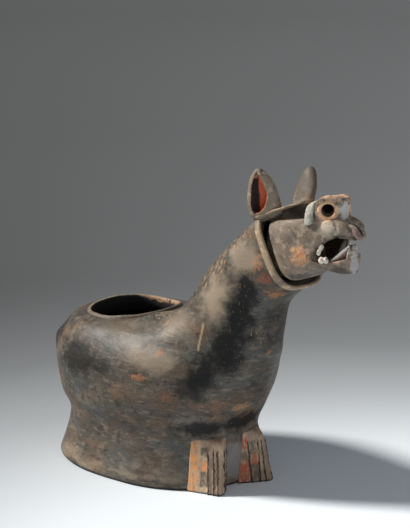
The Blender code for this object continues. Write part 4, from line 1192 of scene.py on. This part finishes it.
# The ears: leaves of clay folded round a thumb, with a thick rim and a deep hollow that keeps its red paint.
# They stand on the corners of the halter, and the left one sits a little lower.
EAR_BASE = np.array((-5.0, 30, 44))
EAR_TIP = {"right": np.array((-3.0, 44, 104)), "left": np.array((-3.0, 44, 97))}
EAR_HALF_LENGTH = {"right": 22.5, "left": 19.5}
EAR_HALF_THICKNESS = 9
HOLLOW_HALF_LENGTH = 0.53
HOLLOW_SETBACK = 0.6
HOLLOW_MIDDLE = 0.45
HOLLOW_DEPTH = 14
EAR_TURN = math.radians(11)
EAR_BASE_SLOPE = 0.4
ear_finish = Finish("ear_slip", (0.23, 0.18, 0.13), 0.6)
ear_finish.coat((0.07, 0.06, 0.05), ear_finish.clouds(0.46, 0.64, 14 * MM, shift=3))
ear_finish.coat((0.38, 0.30, 0.215), ear_finish.clouds(0.5, 0.66, 7 * MM, shift=6), 0.62)
red_at_root = ear_finish.patch((240, 24, 370), (14, 14, 14), 0.6, 3 * MM)
ear_finish.coat(OLD_RED, ear_finish.share(red_at_root, 0.4))
dark_left_ear = ear_finish.patch((222, 38, 395), (32, 26, 50), 0.3, 12 * MM, 0.6)
ear_finish.coat((0.105, 0.08, 0.058), ear_finish.share(dark_left_ear, 0.9))
in_hollow = ear_finish.node("Attribute", attribute_name="ear_hollow", output=2)
ear_finish.coat((0.56, 0.135, 0.06), ear_finish.between(in_hollow, 0.3, 0.5), 0.75)
# The rear of each hollow is painted black as the shadow of its rim.
ear_finish.coat(SOOT_AND_SHADE_BLACK, ear_finish.between(in_hollow, 0.72, 0.92), 0.8)
ear_finish.relief(ear_finish.mottle(3 * MM), 0.45 * MM)
ear_slip = ear_finish.fired()
lengthwise = np.array((math.cos(EAR_TURN), -math.sin(EAR_TURN), 0))
crosswise = np.array((math.sin(EAR_TURN), math.cos(EAR_TURN), 0))


def leaf_fullness(share):
    """How full the ear is at a share of its height."""
    return (1 - share**3) ** 0.7


def hollow_at(share, full_length):
    """Half the hollow's length at a share of the ear's height, and how far it is set back, in millimetres."""
    from_middle = abs(share - HOLLOW_MIDDLE) / (0.36 if share < HOLLOW_MIDDLE else 0.46)
    half_length = full_length * HOLLOW_HALF_LENGTH * max(1 - from_middle**2.5, 0.02) ** 0.5
    return half_length, HOLLOW_SETBACK + 12 * max(HOLLOW_MIDDLE - share, 0)


def ear_ring(side_name, share, half_length, setback=0, shift=0, half_thickness=EAR_HALF_THICKNESS):
    """A ring round an ear at a share of its height, or round its hollow, set back and shifted out."""
    fullness = leaf_fullness(share)
    tuck = max(0, 0.12 - share) / 0.19
    thickness = half_thickness * fullness**0.5 * (1 - 0.5 * tuck)
    middle = EAR_BASE + (EAR_TIP[side_name] - EAR_BASE) * share - lengthwise * setback
    side = dict(SIDES)[side_name]
    ring = []
    for angle in np.linspace(0, 2 * math.pi, 48, endpoint=False):
        lengthways = half_length * fullness * math.cos(angle)
        if lengthways < 0:
            lengthways *= 1 - 0.3 * min(max((0.3 - share) / 0.4, 0), 1)
        crossways = shift - 3 * tuck + thickness * math.sin(angle)
        x, y, z = middle + lengthwise * lengthways + crosswise * crossways
        ring.append(at_head(x, side * y, z + EAR_BASE_SLOPE * (1 - share) * lengthways))
    return ring if side > 0 else ring[::-1]


def how_hollow(side_name, place):
    """How a place of an ear is painted: 0 outside its hollow, 0.6 on its red side and 1 in its painted
    shadow.
    """
    rise = EAR_TIP[side_name] - EAR_BASE
    point = np.array(place - HEAD_ORIGIN) / MM * np.array((1, dict(SIDES)[side_name], 1)) - EAR_BASE
    along_base = EAR_BASE_SLOPE * (point @ lengthwise)
    share = min(max((point[2] - along_base) / (rise[2] - along_base), 0), 0.98)
    fullness = leaf_fullness(share)
    half_length, setback = hollow_at(share, EAR_HALF_LENGTH[side_name])
    from_axis = point - rise * share
    lengthways = (from_axis @ lengthwise + setback) / max(half_length * fullness, 1)
    across = (from_axis @ crosswise - EAR_HALF_THICKNESS) / (HOLLOW_DEPTH * fullness**0.5)
    if lengthways**2 + across**2 >= 1.1 or not 0.12 < share < 0.9:
        return 0
    return 0.6 + 0.4 * min(max((-0.25 - lengthways) / 0.4, 0), 1)


for side_name, side in SIDES:
    full_length = EAR_HALF_LENGTH[side_name]
    leaf_rings = [ear_ring(side_name, share, full_length) for share in np.linspace(-0.07, 0.985, 30)]
    thumb_rings = []
    for share in np.linspace(0.1, 0.9, 26):
        hollow = hollow_at(share, full_length)
        thumb_rings.append(ear_ring(side_name, share, *hollow, EAR_HALF_THICKNESS, HOLLOW_DEPTH))
    leaf = solid("leaf", leaf_rings)
    carved(leaf, solid("thumb", thumb_rings))
    ear = pressed_together(side_name + "_ear", [leaf], 4, 12 * MM, 0.6 * MM, 0.9 * MM)
    mark(ear, "ear_hollow", [float(how_hollow(side_name, vertex.co)) for vertex in ear.data.vertices])
    ear.data.materials.append(ear_slip)
    fixed(ear, "worn_slip", side_name + "_ear")

# The studio: a pale table with a painted pool of light that fades into a grey ground, a lamp from the rear
# left of the picture and weak fill from the front. The camera stands where the picture was taken from.
IMAGE_HEIGHT = 528
FOCAL_LENGTH_IN_PIXELS = 1752
VIEW_AZIMUTH = math.radians(46.8)
VIEW_ELEVATION = math.radians(11.95)
CAMERA_PLACE = (1.6398, -1.4633, 0.7269)
MIDDLE_OF_ANIMAL = Vector((0.05, 0, 0.2))
camera = bpy.data.objects.new("camera", bpy.data.cameras.new("camera"))
camera.data.sensor_fit = "VERTICAL"
camera.data.lens = camera.data.sensor_height * FOCAL_LENGTH_IN_PIXELS / IMAGE_HEIGHT
camera.location = CAMERA_PLACE
to_camera = Vector((
    math.sin(VIEW_AZIMUTH) * math.cos(VIEW_ELEVATION),
    -math.cos(VIEW_AZIMUTH) * math.cos(VIEW_ELEVATION),
    math.sin(VIEW_ELEVATION),
))
camera.rotation_euler = to_camera.to_track_quat("Z", "Y").to_euler()
bpy.context.scene.collection.objects.link(camera)
bpy.context.scene.camera = camera


def lit_from(name, kind, direction, distance, strength, colour, size):
    """A studio lamp that shines at the middle of the animal from a direction."""
    light = bpy.data.lights.new(name, kind)
    light.energy = strength
    light.color = colour
    if kind == "SUN":
        light.angle = size
    else:
        light.size = size
    made = bpy.data.objects.new(name, light)
    made.location = MIDDLE_OF_ANIMAL + Vector(direction).normalized() * distance
    made.rotation_euler = Vector(direction).to_track_quat("Z", "Y").to_euler()
    bpy.context.scene.collection.objects.link(made)


lit_from(
    "key_lamp",
    "SUN",
    direction=(-0.615, -0.489, 0.616),
    distance=3,
    strength=4.7,
    colour=(1, 0.96, 0.90),
    size=math.radians(11),
)
lit_from(
    "fill_lamp",
    "AREA",
    direction=(1, -0.35, 0.5),
    distance=2.6,
    strength=10,
    colour=(0.96, 0.98, 1),
    size=1.4,
)
world = bpy.data.worlds.new("studio")
world.use_nodes = True
world.node_tree.nodes["Background"].inputs["Color"].default_value = (0.32, 0.33, 0.35, 1)
world.node_tree.nodes["Background"].inputs["Strength"].default_value = 0.5
bpy.context.scene.world = world
bpy.context.scene.view_settings.view_transform = "Standard"

FLOOR_SIDE = 16
POOL_CENTRE = Vector((0.6, -0.1, 0))
POOL_REACH = 12
# The painted pool of light: how pale the paper is painted at distances from its middle.
PAINTED_LIGHT_FALLOFF = (
    (0.35, 0.97),
    (0.5, 0.90),
    (0.63, 0.70),
    (0.75, 0.52),
    (0.85, 0.40),
    (0.98, 0.30),
    (1.12, 0.21),
    (1.28, 0.18),
    (1.6, 0.15),
    (2.3, 0.132),
    (3.7, 0.11),
    (9, 0.083),
)
COOL_TINT = (0.915, 0.99, 1.06)
floor_mesh = bpy.data.meshes.new("floor")
corners = [(x * FLOOR_SIDE, y * FLOOR_SIDE, 0) for x, y in ((-1, -1), (1, -1), (1, 1), (-1, 1))]
floor_mesh.from_pydata(corners, [], [(0, 1, 2, 3)])
paper = Finish("paper_with_painted_light", (0.8, 0.8, 0.8), 0.9)
from_pool = paper.node("VectorMath", paper.place, tuple(POOL_CENTRE), operation="DISTANCE", output=1)
painted_light_fade = paper.tree.nodes.new("ShaderNodeValToRGB")
paper.plug(painted_light_fade.inputs[0], paper.sum("MULTIPLY", from_pool, 1 / POOL_REACH))
stops = painted_light_fade.color_ramp.elements
stops[1].position = 1
for _ in PAINTED_LIGHT_FALLOFF[2:]:
    stops.new(0.5)
for stop, (distance, shade) in zip(stops, PAINTED_LIGHT_FALLOFF):
    stop.position = distance / POOL_REACH
    stop.color = (*(shade * tint for tint in COOL_TINT), 1)
# Painted light: the far ground is painted darker on the left of the picture.
RIGHT_OF_PICTURE = (math.cos(VIEW_AZIMUTH), math.sin(VIEW_AZIMUTH), 0)
LEFT_TO_RIGHT = 1.5
from_middle = paper.node("VectorMath", paper.place, tuple(POOL_CENTRE), operation="SUBTRACT")
to_the_right = paper.node("VectorMath", from_middle, RIGHT_OF_PICTURE, operation="DOT_PRODUCT", output=1)
bearing = paper.sum("DIVIDE", to_the_right, paper.sum("ADD", from_pool, 0.3))
bearing = paper.both(bearing, paper.between(from_pool, 0.9, 1.8))
slant = paper.sum("MULTIPLY_ADD", bearing, LEFT_TO_RIGHT, 1)
paper.colour = paper.node("VectorMath", painted_light_fade.outputs[0], slant, operation="MULTIPLY")
floor_mesh.materials.append(paper.fired())
floor = bpy.data.objects.new("floor", floor_mesh)
bpy.context.scene.collection.objects.link(floor)
